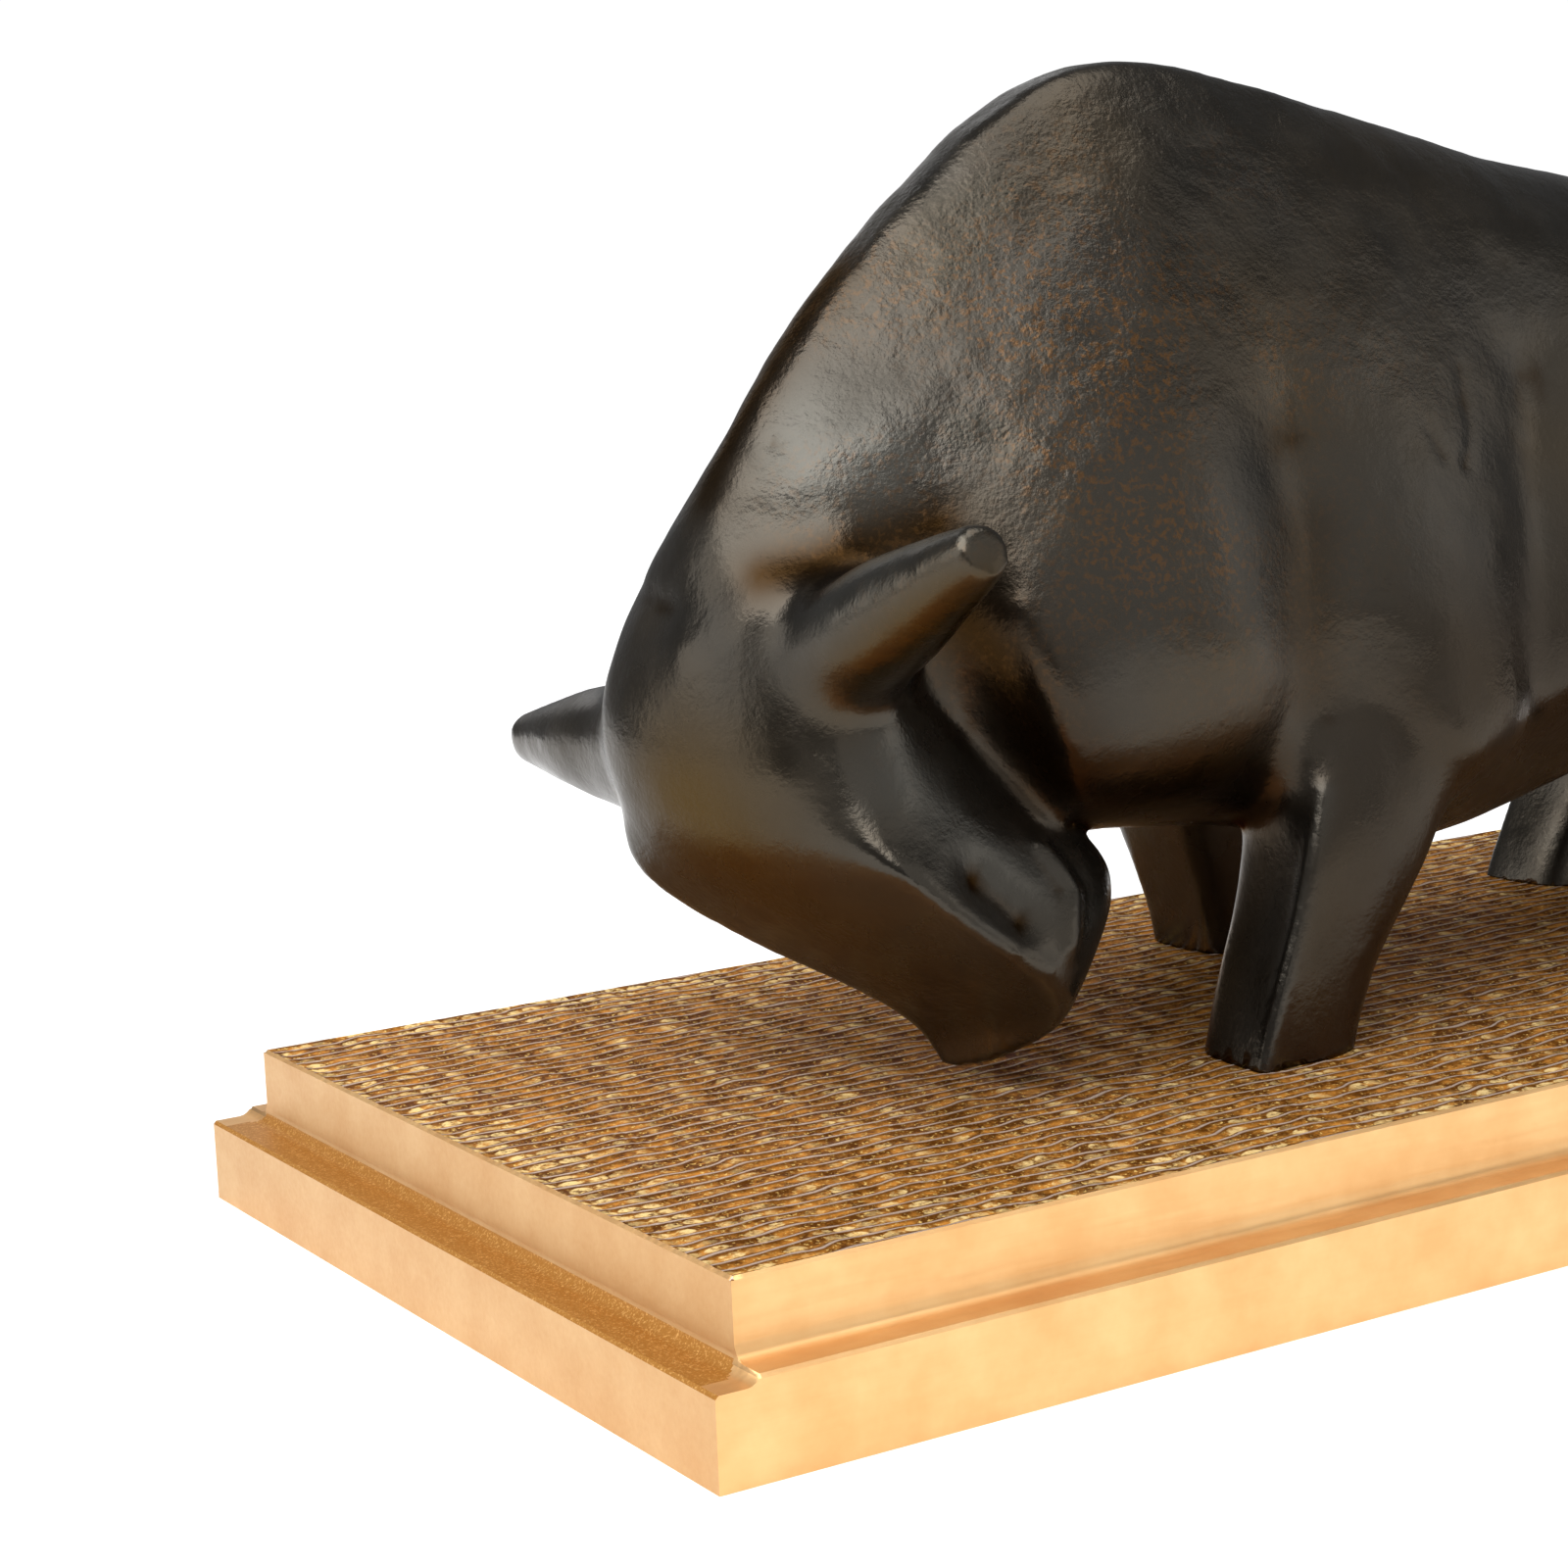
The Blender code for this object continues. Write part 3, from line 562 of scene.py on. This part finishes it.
def pointNormals(points, mesh):
    # sum of the facet normals round each point, made one long
    mesh.calc_loop_triangles()
    corners = np.empty(len(mesh.loop_triangles) * 3, dtype=np.int32)
    mesh.loop_triangles.foreach_get("vertices", corners)
    corners = corners.reshape(-1, 3)
    a, b, c = points[corners[:, 0]], points[corners[:, 1]], points[corners[:, 2]]
    facet = np.cross(b - a, c - a)
    size = len(points)
    total = np.stack([sum(np.bincount(corners[:, k], facet[:, axis], size) for k in range(3))
                      for axis in range(3)], axis=1)
    length = np.linalg.norm(total, axis=1)[:, None]
    return total / np.where(length > 0.0, length, 1.0)


def distanceToLine(points, path):
    # least distance to any stretch of a path of straight pieces
    path = np.array(path, dtype=float)
    nearest = np.full(len(points), np.inf)
    for start, end in zip(path[:-1], path[1:]):
        along = end - start
        share = np.clip((points - start) @ along / (along @ along), 0.0, 1.0)
        gap = np.linalg.norm(points - start - share[:, None] * along, axis=1)
        nearest = np.minimum(nearest, gap)
    return nearest


def handled(shares, s):
    # how much the surface was worked: most on the neck and the hump, less behind them, and
    # least low down
    least, behind = s["workedLeast"], s["workedBehind"]
    upper = fadeBetween(shares[:, 2], *s["workedHeights"])
    along = fadeBetween(shares[:, 0], *s["workedAlong"])
    return least + (1.0 - least) * upper * (behind + (1.0 - behind) * along)


def worked(points, normals, s, ground):
    # marks rise or sink by their height times a bell of the distance to their line;
    # the touch adds lattice noise of falling pitch
    shares = (points - (0.0, 0.0, ground)) / s["height"]
    lift = np.zeros(len(points))
    for path, reach, rise in s["marks"]:
        gap = distanceToLine(shares, path)
        lift += s["height"] * rise * np.exp(-(gap / reach) ** 2)
    touch = np.zeros(len(points))
    for pitch, height, seed in s["touch"]:
        touch += height * latticeNoise(points, pitch, seed)
    return points + normals * (lift + touch * handled(shares, s))[:, None]


def thinned(mesh, wanted):
    # edges collapse where the skin is flattest until the wanted triangles are left
    mesh.calc_loop_triangles()
    carrier = putIn("thinning", mesh)
    thinning = carrier.modifiers.new("thin", "DECIMATE")
    thinning.ratio = min(1.0, wanted / len(mesh.loop_triangles))
    result = evaluated(carrier)
    bpy.data.objects.remove(carrier)
    result.name = "bull"
    return result


def nearLines(shares, lines):
    # the greatest of the lines' depths, each times a bell of the distance to that line
    near = np.zeros(len(shares))
    for path, reach, depth in lines:
        near = np.maximum(near, depth * np.exp(-(distanceToLine(shares, path) / reach) ** 2))
    return near


def paintPoints(mesh, layers):
    # one value for each point under each name
    for name, values in layers.items():
        layer = mesh.attributes.new(name, "FLOAT", "POINT")
        layer.data.foreach_set("value", values.ravel())


def paintSkin(mesh, s, ground):
    # painted values on the points: the greater of how far a point lies below the mean of the
    # skin round it, where patina gathers in the hollows, and how near a line of painted shade it
    # lies;
    # a painted reflection of the gold and a painted highlight, each how near its lines it lies;
    # rubbed fades with the distance from the hump's side; handled is how much the skin was
    # worked
    points = readPoints(mesh)
    edges = readEdges(mesh)
    normals = pointNormals(points, mesh)
    mean = relax(points, edges, s["hollowRounds"], s["relaxStrength"])
    sunk = ((mean - points) * normals).sum(axis=1)
    hollowAndShade = fadeBetween(sunk, *s["hollowDepths"])
    shares = (points - (0.0, 0.0, ground)) / s["height"]
    # painted shade along the given lines is taken in with the patina of the hollows
    hollowAndShade = np.maximum(hollowAndShade, nearLines(shares, s["paintedShade"]))
    centre, reach = s["rubbed"]
    folded = np.stack((shares[:, 0], np.abs(shares[:, 1]), shares[:, 2]), axis=1)
    rubbed = np.exp(-(np.linalg.norm(folded - centre, axis=1) / reach) ** 2)
    rubbed *= fadeBetween(latticeNoise(points, *s["rubbedPatches"]), *s["rubbedFade"])
    paintPoints(mesh, {"hollowAndShade": hollowAndShade, "rubbed": rubbed,
                       "paintedGoldReflection": nearLines(shares, s["paintedGoldReflection"]),
                       "paintedHighlight": nearLines(shares, s["paintedHighlight"]),
                       "handled": handled(shares, s)})


def cutSoles(mesh, level):
    # everything below the level goes, and each cut is closed with one flat face
    shape = bmesh.new()
    shape.from_mesh(mesh)
    everything = shape.verts[:] + shape.edges[:] + shape.faces[:]
    cut = bmesh.ops.bisect_plane(shape, geom=everything, plane_co=(0.0, 0.0, level),
                                 plane_no=(0.0, 0.0, 1.0), clear_inner=True)
    rim = [item for item in cut["geom_cut"] if isinstance(item, bmesh.types.BMEdge)]
    bmesh.ops.edgeloop_fill(shape, edges=rim)
    bmesh.ops.recalc_face_normals(shape, faces=shape.faces)
    shape.to_mesh(mesh)
    shape.free()


def buildBull(s):
    ground = plinthHigh.z
    cage = putIn("bullCage", buildCage(s, ground))
    rounding = cage.modifiers.new("round", "SUBSURF")
    rounding.levels = rounding.render_levels = s["rounding"]
    fusing = cage.modifiers.new("fuse", "REMESH")
    fusing.mode = "VOXEL"
    fusing.voxel_size = s["voxel"]
    mesh = evaluated(cage)
    bpy.data.objects.remove(cage)
    mesh.name = "bull"
    edges = readEdges(mesh)
    points = relax(readPoints(mesh), edges, s["relaxRounds"], s["relaxStrength"])
    points = ease(points, edges, s, ground)
    points = worked(points, pointNormals(points, mesh), s, ground)
    mesh.vertices.foreach_set("co", points.ravel())
    mesh = thinned(mesh, s["triangles"])
    cutSoles(mesh, ground)
    mesh.shade_smooth()
    paintSkin(mesh, s, ground)
    piece = putIn("castBull", mesh)
    mesh.materials.clear()
    mesh.materials.append(bronzeFinish(bronze))
    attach(piece, "root")
    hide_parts("bull")
    print("bull", len(mesh.polygons), "faces")


def startMaterial(name, metallic=0.0):
    material = bpy.data.materials.new(name)
    material.use_nodes = True
    tree = material.node_tree
    shader = tree.nodes["Principled BSDF"]
    shader.inputs["Metallic"].default_value = metallic
    return material, tree, shader


def objectPlace(tree, stretch=(1.0, 1.0, 1.0)):
    # the piece's own coordinates, stretched
    source = tree.nodes.new("ShaderNodeTexCoord")
    mapping = tree.nodes.new("ShaderNodeMapping")
    mapping.inputs["Scale"].default_value = stretch
    tree.links.new(source.outputs["Object"], mapping.inputs["Vector"])
    return mapping.outputs["Vector"]


def cloud(tree, place, scale, detail, roughness=0.5, distortion=0.0):
    # fractal noise, mostly between 0.3 and 0.7
    noise = tree.nodes.new("ShaderNodeTexNoise")
    noise.inputs["Scale"].default_value = scale
    noise.inputs["Detail"].default_value = detail
    noise.inputs["Roughness"].default_value = roughness
    noise.inputs["Distortion"].default_value = distortion
    tree.links.new(place, noise.inputs["Vector"])
    return noise.outputs["Fac"]


def ramp(tree, value, low, high, start=0.0, end=1.0):
    # maps low..high to start..end and clamps
    node = tree.nodes.new("ShaderNodeMapRange")
    node.inputs["From Min"].default_value = low
    node.inputs["From Max"].default_value = high
    node.inputs["To Min"].default_value = start
    node.inputs["To Max"].default_value = end
    tree.links.new(value, node.inputs["Value"])
    return node.outputs["Result"]


def worksOut(tree, operation, first, second=0.0):
    # one step of arithmetic on a socket and a number or another socket
    node = tree.nodes.new("ShaderNodeMath")
    node.operation = operation
    tree.links.new(first, node.inputs[0])
    if isinstance(second, float):
        node.inputs[1].default_value = second
    else:
        tree.links.new(second, node.inputs[1])
    return node.outputs["Value"]


def times(tree, first, second):
    return worksOut(tree, "MULTIPLY", first, second)


def blendColours(tree, share, first, second):
    # first where the share is 0, second where it is 1; each a colour or a socket
    node = tree.nodes.new("ShaderNodeMix")
    node.data_type = "RGBA"
    tree.links.new(share, node.inputs[0])
    for socket, colour in ((node.inputs[6], first), (node.inputs[7], second)):
        if isinstance(colour, tuple):
            socket.default_value = (*colour, 1.0)
        else:
            tree.links.new(colour, socket)
    return node.outputs[2]


def bumpUp(tree, height, distance, strength, under=None):
    # height from 0 to 1 shades as relief that rises by the distance, over the relief under it
    node = tree.nodes.new("ShaderNodeBump")
    node.inputs["Distance"].default_value = distance
    node.inputs["Strength"].default_value = strength
    tree.links.new(height, node.inputs["Height"])
    if under is not None:
        tree.links.new(under, node.inputs["Normal"])
    return node.outputs["Normal"]


def raiseGrain(tree, shader, grain, s, under=None):
    # the finest relief, which the shader takes
    raised = bumpUp(tree, grain, s["grainHeight"], s["bumpStrength"], under)
    tree.links.new(raised, shader.inputs["Normal"])


def painted(tree, name):
    # a value painted on the piece's points
    node = tree.nodes.new("ShaderNodeAttribute")
    node.attribute_name = name
    return node.outputs["Fac"]


# clouds are given as scale per metre, detail, roughness and distortion, and each range is
# the stretch of a cloud's values that is used; heights are in metres
bronze = {
    "dark": (0.044, 0.039, 0.032),
    "warm": (0.050, 0.040, 0.028),
    # brown of the patina in the hollows, which also serves as painted shade, and the dimmed
    # reflection there
    "hollowAndShade": (0.020, 0.010, 0.003),
    "hollowAndShadeSheen": (0.34, 0.22, 0.12),
    "amber": (0.12, 0.055, 0.016),
    # painted reflection of the gold plinth below
    "paintedGoldReflection": (0.054, 0.030, 0.005),
    # painted highlight
    "paintedHighlight": (0.064, 0.061, 0.053),
    "metallic": 0.92,
    "toneCloud": (24.0, 4.0),
    "toneRange": (0.38, 0.66),
    "netCloud": (800.0, 3.0, 0.55, 0.5),
    "netRange": (0.50, 0.64),
    "netShare": 0.75,
    "glossCloud": (75.0, 4.0),
    "glossRange": (0.35, 0.65),
    "smooth": 0.20,
    "rough": 0.34,
    "dabCloud": (330.0, 3.0, 0.5),
    "dabHeight": 0.0004,
    "grainCloud": (1000.0, 3.0, 0.6),
    "grainHeight": 0.0003,
    "bumpStrength": 0.5,
}


def bronzeFinish(s):
    # near-black waxed patina, warmer in clouds, with painted highlights and a painted reflection
    # of the gold in places, brown in the hollows and in painted shade, with a net of amber where
    # the hump is rubbed; gloss varies in soft patches
    material, tree, shader = startMaterial("waxedBronze", s["metallic"])
    place = objectPlace(tree)
    tone = ramp(tree, cloud(tree, place, *s["toneCloud"]), *s["toneRange"])
    colour = blendColours(tree, tone, s["dark"], s["warm"])
    # painted highlight, painted reflection of the gold, then the brown of the hollows and of
    # painted shade
    for patch in ("paintedHighlight", "paintedGoldReflection", "hollowAndShade"):
        colour = blendColours(tree, painted(tree, patch), colour, s[patch])
    specks = ramp(tree, cloud(tree, place, *s["netCloud"]), *s["netRange"])
    share = times(tree, times(tree, specks, painted(tree, "rubbed")), s["netShare"])
    tree.links.new(blendColours(tree, share, colour, s["amber"]), shader.inputs["Base Color"])
    # reflections are dimmed and tinted in the hollows and under painted shade
    sheen = blendColours(tree, painted(tree, "hollowAndShade"), (1.0, 1.0, 1.0), s["hollowAndShadeSheen"])
    tree.links.new(sheen, shader.inputs["Specular Tint"])
    patches = cloud(tree, place, *s["glossCloud"])
    gloss = ramp(tree, patches, *s["glossRange"], s["smooth"], s["rough"])
    tree.links.new(gloss, shader.inputs["Roughness"])
    byHand = painted(tree, "handled")
    dabs = times(tree, cloud(tree, place, *s["dabCloud"]), byHand)
    dabs = bumpUp(tree, dabs, s["dabHeight"], s["bumpStrength"])
    grain = times(tree, cloud(tree, place, *s["grainCloud"]), byHand)
    raiseGrain(tree, shader, grain, s, dabs)
    return material


# the plinth, in metres; insets run in from the outer faces
plinth = {
    "endLedge": (0.0085, 0.0161),
    "sideLedge": (0.0082, 0.0178),
    "cove": 0.0028,
    "coveSteps": 5,
    "edgeRound": 0.0006,
    # gouged ripples on top: pitch of the rows, length of a gouge, its depth, how far the
    # rows wander over one gouge and over a shorter stretch, how far the gouges' ends
    # stagger, as a share of their length, over what stretch, and the seeds of the three
    "rowPitch": 0.0040,
    "cutLength": 0.0130,
    "cutDepth": 0.00055,
    "wander": 0.0013,
    "ripple": 0.0009,
    "ripplePitch": 0.0052,
    "stagger": 0.22,
    "staggerPitch": 0.020,
    "seeds": (11, 12, 13),
    # share of the depth that is left where a gouge pinches, and at the rim; how far in it
    # is full again, as so many times the edge's round
    "pinchDepth": 0.35,
    "rimDepth": 0.15,
    "rimFade": 4,
    # painted glints come more often towards the outer edges of the top: how far in
    "wearReach": 0.030,
    "acrossSteps": 320,
    "alongSteps": 230,
    "wallSteps": 3,
    # least share of a face's normal that makes it a top or an end, and a ledge or its cove
    "levelTilt": 0.8,
    "ledgeTilt": 0.3,
    # edges sharper than this many degrees stay crisp
    "crispAngle": 35,
    # seams nearer than this are closed
    "seam": 0.00001,
}

openHeight = 9.0  # above everything, so that the gouged top decides the height


def edgeProfile(ledge, s):
    # inset and height from the foot of the outer face, up over the ledge and its cove,
    # a quarter circle, to the top edge
    width, level = ledge
    cove, soft = s["cove"], s["edgeRound"]
    turn = np.linspace(0.0, np.pi / 2, s["coveSteps"] + 1)
    inset = width - cove + cove * np.sin(turn)
    height = level + cove - cove * np.cos(turn)
    top = plinthHigh.z - soft
    walls = np.append(np.linspace(0.0, level - 2 * soft, s["wallSteps"]), level - soft)
    above = np.append(np.linspace(height[-1], top - soft, s["wallSteps"])[1:], top)
    insets = np.concatenate((np.zeros_like(walls), (soft,), inset, np.full_like(above, width),
                             (width + soft,)))
    heights = np.concatenate((walls, (level,), height, above, (openHeight,)))
    return insets, heights


def gridLine(low, high, insets, heights, steps):
    # positions and ceiling heights along one axis: profile, inner run, mirrored profile
    inner = np.linspace(low + insets[-1], high - insets[-1], steps + 1)[1:-1]
    line = np.concatenate((low + insets, inner, high - insets[::-1]))
    ceiling = np.concatenate((heights, np.full_like(inner, openHeight), heights[::-1]))
    return line, ceiling


def gougePlace(x, y, s):
    # which row and which gouge a point lies in, counted on without a break: the rows wander
    # by lattice noise, and the ends of the gouges stagger a little from row to row
    flat = np.stack((x, y, np.zeros_like(x)), axis=-1).reshape(-1, 3)
    pitches = (s["cutLength"], s["ripplePitch"], s["staggerPitch"])
    sway, small, ends = (latticeNoise(flat, pitch, seed).reshape(x.shape)
                         for pitch, seed in zip(pitches, s["seeds"]))
    row = (y + s["wander"] * sway + s["ripple"] * small) / s["rowPitch"]
    gouge = x / s["cutLength"] + s["stagger"] * ends
    return row, gouge


def gougedTop(row, gouge, inward, s):
    # crests stand between the rows: depth is a parabola across each row, swells and pinches
    # as a squared sine along each gouge, and runs out at the rim
    across = row - np.floor(row)
    pinch, rim, soft = s["pinchDepth"], s["rimDepth"], s["edgeRound"]
    deep = s["cutDepth"] * (pinch + (1.0 - pinch) * np.sin(np.pi * gouge) ** 2)
    deep *= rim + (1.0 - rim) * fadeBetween(inward, soft, s["rimFade"] * soft)
    return plinthHigh.z - deep * (1.0 - (2.0 * across - 1.0) ** 2)


def buildPlinth(s):
    endInsets, endHeights = edgeProfile(s["endLedge"], s)
    sideInsets, sideHeights = edgeProfile(s["sideLedge"], s)
    xLine, xCeiling = gridLine(plinthLow.x, plinthHigh.x, endInsets, endHeights,
                               s["alongSteps"])
    yLine, yCeiling = gridLine(plinthLow.y, plinthHigh.y, sideInsets, sideHeights,
                               s["acrossSteps"])
    x, y = np.meshgrid(xLine, yLine, indexing="ij")
    ceiling = np.minimum(xCeiling[:, None], yCeiling[None, :])
    inward = np.minimum(plinthHigh.x - s["endLedge"][0] - np.abs(x),
                        plinthHigh.y - s["sideLedge"][0] - np.abs(y))
    row, gouge = gougePlace(x, y, s)
    z = np.minimum(ceiling, gougedTop(row, gouge, inward, s))
    rows, columns = x.shape
    points = np.stack((x, y, z), axis=-1).reshape(-1, 3)
    index = np.arange(rows * columns).reshape(rows, columns)
    quads = np.stack((index[:-1, :-1], index[1:, :-1], index[1:, 1:], index[:-1, 1:]), axis=-1)
    rim = np.concatenate((index[:-1, 0], index[-1, :-1], index[:0:-1, -1], index[0, :0:-1]))
    mesh = bpy.data.meshes.new("plinth")
    mesh.from_pydata(points.tolist(), [], quads.reshape(-1, 4).tolist() + [rim[::-1].tolist()])
    # nearness to the outer edges of the top, where the painted glints come more often
    nearEdge = 1.0 - fadeBetween(inward, 0.0, s["wearReach"])
    paintPoints(mesh, {"row": row, "gouge": gouge, "nearEdge": nearEdge})
    shape = bmesh.new()
    shape.from_mesh(mesh)
    bmesh.ops.remove_doubles(shape, verts=shape.verts, dist=s["seam"])
    bmesh.ops.recalc_face_normals(shape, faces=shape.faces)
    shape.to_mesh(mesh)
    shape.free()
    paintPlinthFaces(mesh, s)
    piece = putIn("giltPlinth", mesh)
    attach(piece, "root")
    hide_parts("plinth")
    print("plinth", len(mesh.polygons), "faces")


def readFaces(mesh, name):
    values = np.empty(len(mesh.polygons) * 3)
    mesh.polygons.foreach_get(name, values)
    return values.reshape(-1, 3)


def paintPlinthFaces(mesh, s):
    # upward faces high up take the glazed top; the ledge across each end shows its
    # undercoat, up to the mitre at the corner, and the end walls take a darker copy of the leaf,
    # painted shade
    finishes = {"wall": leafFinish(leaf, "long"), "top": glazedTopFinish(glaze),
                "ledge": ledgeFinish(ledgeGold), "end": leafFinish(leaf, "end")}
    for finish in finishes.values():
        mesh.materials.append(finish)
    number = {name: place for place, name in enumerate(finishes)}
    normals, centres = readFaces(mesh, "normal"), readFaces(mesh, "center")
    high = centres[:, 2] > (s["sideLedge"][1] + s["cove"] + plinthHigh.z) / 2
    fromEnd = plinthHigh.x - np.abs(centres[:, 0])
    fromSide = plinthHigh.y - np.abs(centres[:, 1])
    endLedge = (normals[:, 2] > s["ledgeTilt"]) & ~high & (fromEnd < fromSide)
    kind = np.where(np.abs(normals[:, 0]) > s["levelTilt"], number["end"], number["wall"])
    kind = np.where(endLedge, number["ledge"], kind)
    kind = np.where((normals[:, 2] > s["levelTilt"]) & high, number["top"], kind)
    mesh.polygons.foreach_set("material_index", kind.astype(np.int32))
    mesh.shade_smooth()
    mesh.set_sharp_from_angle(angle=math.radians(s["crispAngle"]))


leaf = {
    "long": ((0.78, 0.485, 0.215), (0.71, 0.40, 0.16)),
    # the end walls' copy, darker as painted shade
    "end": ((0.55, 0.34, 0.155), (0.50, 0.285, 0.115)),
    "metallic": 0.85,
    "grainStretch": (0.06, 1.0, 1.0),
    "grainCloud": (900.0, 3.0, 0.6),
    "grainRange": (0.3, 0.7),
    "grainHeight": 0.0001,
    "bumpStrength": 0.4,
    "smooth": 0.34,
    "rough": 0.46,
    "mottleCloud": (70.0, 4.0, 0.6),
    "mottleRange": (0.35, 0.65),
}


def leafFinish(s, face):
    # satin gold leaf on wood: faint grain along the length and a soft mottle; on the end
    # walls it is a darker copy, painted shade
    material, tree, shader = startMaterial(face + "Leaf", s["metallic"])
    grain = cloud(tree, objectPlace(tree, s["grainStretch"]), *s["grainCloud"])
    mottle = cloud(tree, objectPlace(tree), *s["mottleCloud"])
    light, deep = s[face]
    colour = blendColours(tree, ramp(tree, mottle, *s["mottleRange"]), light, deep)
    tree.links.new(colour, shader.inputs["Base Color"])
    gloss = ramp(tree, grain, *s["grainRange"], s["smooth"], s["rough"])
    tree.links.new(gloss, shader.inputs["Roughness"])
    raiseGrain(tree, shader, grain, s)
    return material


def fromMiddle(tree, value):
    # 0 in the middle of each whole step of the value, 1 at its ends
    part = worksOut(tree, "FRACT", value)
    swing = worksOut(tree, "SUBTRACT", times(tree, part, 2.0), 1.0)
    return worksOut(tree, "ABSOLUTE", swing)


def cellChance(tree, row, gouge, cells):
    # one chance value for each of so many cells in each gouge of each row
    node = tree.nodes.new("ShaderNodeCombineXYZ")
    tree.links.new(worksOut(tree, "FLOOR", row), node.inputs[0])
    tree.links.new(worksOut(tree, "FLOOR", times(tree, gouge, cells)), node.inputs[1])
    chance = tree.nodes.new("ShaderNodeTexWhiteNoise")
    chance.noise_dimensions = "2D"
    tree.links.new(node.outputs["Vector"], chance.inputs["Vector"])
    return chance.outputs["Value"]


glaze = {
    "deep": (0.12, 0.040, 0.005),
    "thin": (0.66, 0.27, 0.045),
    "fleck": (1.0, 0.66, 0.21),
    # painted reflection along each crest
    "crest": (0.63, 0.48, 0.39),
    # painted glint
    "paintedGlint": (1.0, 0.73, 0.32),
    "sheen": (0.62, 0.36, 0.16),
    "crestSheen": (0.80, 0.66, 0.58),
    "metallic": 0.5,
    "reflects": 0.12,
    "rough": 0.40,
    "crestRough": 0.26,
    "patchCloud": (240.0, 5.0, 0.7),
    "patchRange": (0.42, 0.62),
    "fleckCloud": (1100.0, 3.0, 0.7),
    "fleckRange": (0.57, 0.64),
    # across a row, from 0 in its middle to 1 on its crest: the painted shade beside the crests
    # and its share, then the painted reflection along the crest line
    "slopeShadeRange": (0.30, 0.75),
    "slopeShadeShare": 0.8,
    "crestRange": (0.78, 0.92),
    # painted glints, bars of bright gold: cells in each gouge; the chance added towards a
    # gouge's end and near the top's edges; the sum that begins a bar and makes it full; the
    # bar's outline, flattened across the row; and the cloud that breaks it up
    "barCells": 3.0,
    "endRange": (0.35, 0.85),
    "endChance": 0.42,
    "edgeChance": 0.75,
    "barRange": (0.90, 1.35),
    "barFlatness": 2.4,
    "barOutline": (1.0, 0.7),
    "barCloud": (600.0, 4.0, 0.65),
    "barCloudRange": (0.38, 0.56),
    "grainCloud": (900.0, 4.0, 0.6),
    "grainHeight": 0.0003,
    "bumpStrength": 0.5,
}


def paintedGlints(tree, place, fromRow, row, gouge, s):
    # a painted glint is a lens in its cell, where the cell's chance and the nearness of an end
    # or an edge add up to enough
    nearEnd = ramp(tree, fromMiddle(tree, gouge), *s["endRange"], 0.0, s["endChance"])
    nearEdge = times(tree, painted(tree, "nearEdge"), s["edgeChance"])
    added = worksOut(tree, "MAXIMUM", nearEnd, nearEdge)
    chance = worksOut(tree, "ADD", cellChance(tree, row, gouge, s["barCells"]), added)
    fromCell = fromMiddle(tree, times(tree, gouge, s["barCells"]))
    across = times(tree, times(tree, fromRow, fromRow), s["barFlatness"])
    lens = worksOut(tree, "ADD", across, times(tree, fromCell, fromCell))
    glints = times(tree, ramp(tree, chance, *s["barRange"]), ramp(tree, lens, *s["barOutline"]))
    broken = ramp(tree, cloud(tree, place, *s["barCloud"]), *s["barCloudRange"])
    return times(tree, glints, broken)


def glazedTopFinish(s):
    # brown glaze over gold, flecked with gold; painted shade lies dark beside the crests,
    # painted glints stand as bars of bright gold where the gouges end and near the edges, and a
    # painted reflection runs pale along the crests
    material, tree, shader = startMaterial("glazedGold", s["metallic"])
    place = objectPlace(tree)
    row, gouge = painted(tree, "row"), painted(tree, "gouge")
    fromRow = fromMiddle(tree, row)
    patches = ramp(tree, cloud(tree, place, *s["patchCloud"]), *s["patchRange"])
    colour = blendColours(tree, patches, s["deep"], s["thin"])
    flecks = ramp(tree, cloud(tree, place, *s["fleckCloud"]), *s["fleckRange"])
    colour = blendColours(tree, flecks, colour, s["fleck"])
    # painted shade on the slopes beside the crests
    slopeShade = ramp(tree, fromRow, *s["slopeShadeRange"], 0.0, s["slopeShadeShare"])
    colour = blendColours(tree, slopeShade, colour, s["deep"])
    # painted reflection along the crest line, paler and glossier
    line = ramp(tree, fromRow, *s["crestRange"])
    colour = blendColours(tree, line, colour, s["crest"])
    # painted glints of bright gold, in colour and in reflection
    glints = paintedGlints(tree, place, fromRow, row, gouge, s)
    tree.links.new(blendColours(tree, glints, colour, s["paintedGlint"]), shader.inputs["Base Color"])
    sheen = blendColours(tree, line, s["sheen"], s["crestSheen"])
    tree.links.new(blendColours(tree, glints, sheen, s["paintedGlint"]), shader.inputs["Specular Tint"])
    shader.inputs["Specular IOR Level"].default_value = s["reflects"]
    gloss = ramp(tree, line, 0.0, 1.0, s["rough"], s["crestRough"])
    tree.links.new(gloss, shader.inputs["Roughness"])
    raiseGrain(tree, shader, cloud(tree, place, *s["grainCloud"]), s)
    return material


ledgeGold = {
    "orange": (0.37, 0.155, 0.022),
    "bright": (0.85, 0.50, 0.17),
    "metallic": 0.6,
    "rough": 0.45,
    "fleckCloud": (2200.0, 3.0, 0.7),
    "fleckRange": (0.52, 0.70),
    "fleckShare": 0.7,
    "grainCloud": (900.0, 3.0, 0.6),
    "grainHeight": 0.0001,
    "bumpStrength": 0.4,
}


def ledgeFinish(s):
    # orange undercoat showing through rubbed gold specks
    material, tree, shader = startMaterial("ledgeGold", s["metallic"])
    place = objectPlace(tree)
    flecks = cloud(tree, place, *s["fleckCloud"])
    share = ramp(tree, flecks, *s["fleckRange"], 0.0, s["fleckShare"])
    tree.links.new(blendColours(tree, share, s["orange"], s["bright"]),
                   shader.inputs["Base Color"])
    shader.inputs["Roughness"].default_value = s["rough"]
    raiseGrain(tree, shader, cloud(tree, place, *s["grainCloud"]), s)
    return material


scene.view_settings.view_transform = "Standard"
placeCamera(view)
buildStudio(studio)
buildPlinth(plinth)
buildBull(bull)
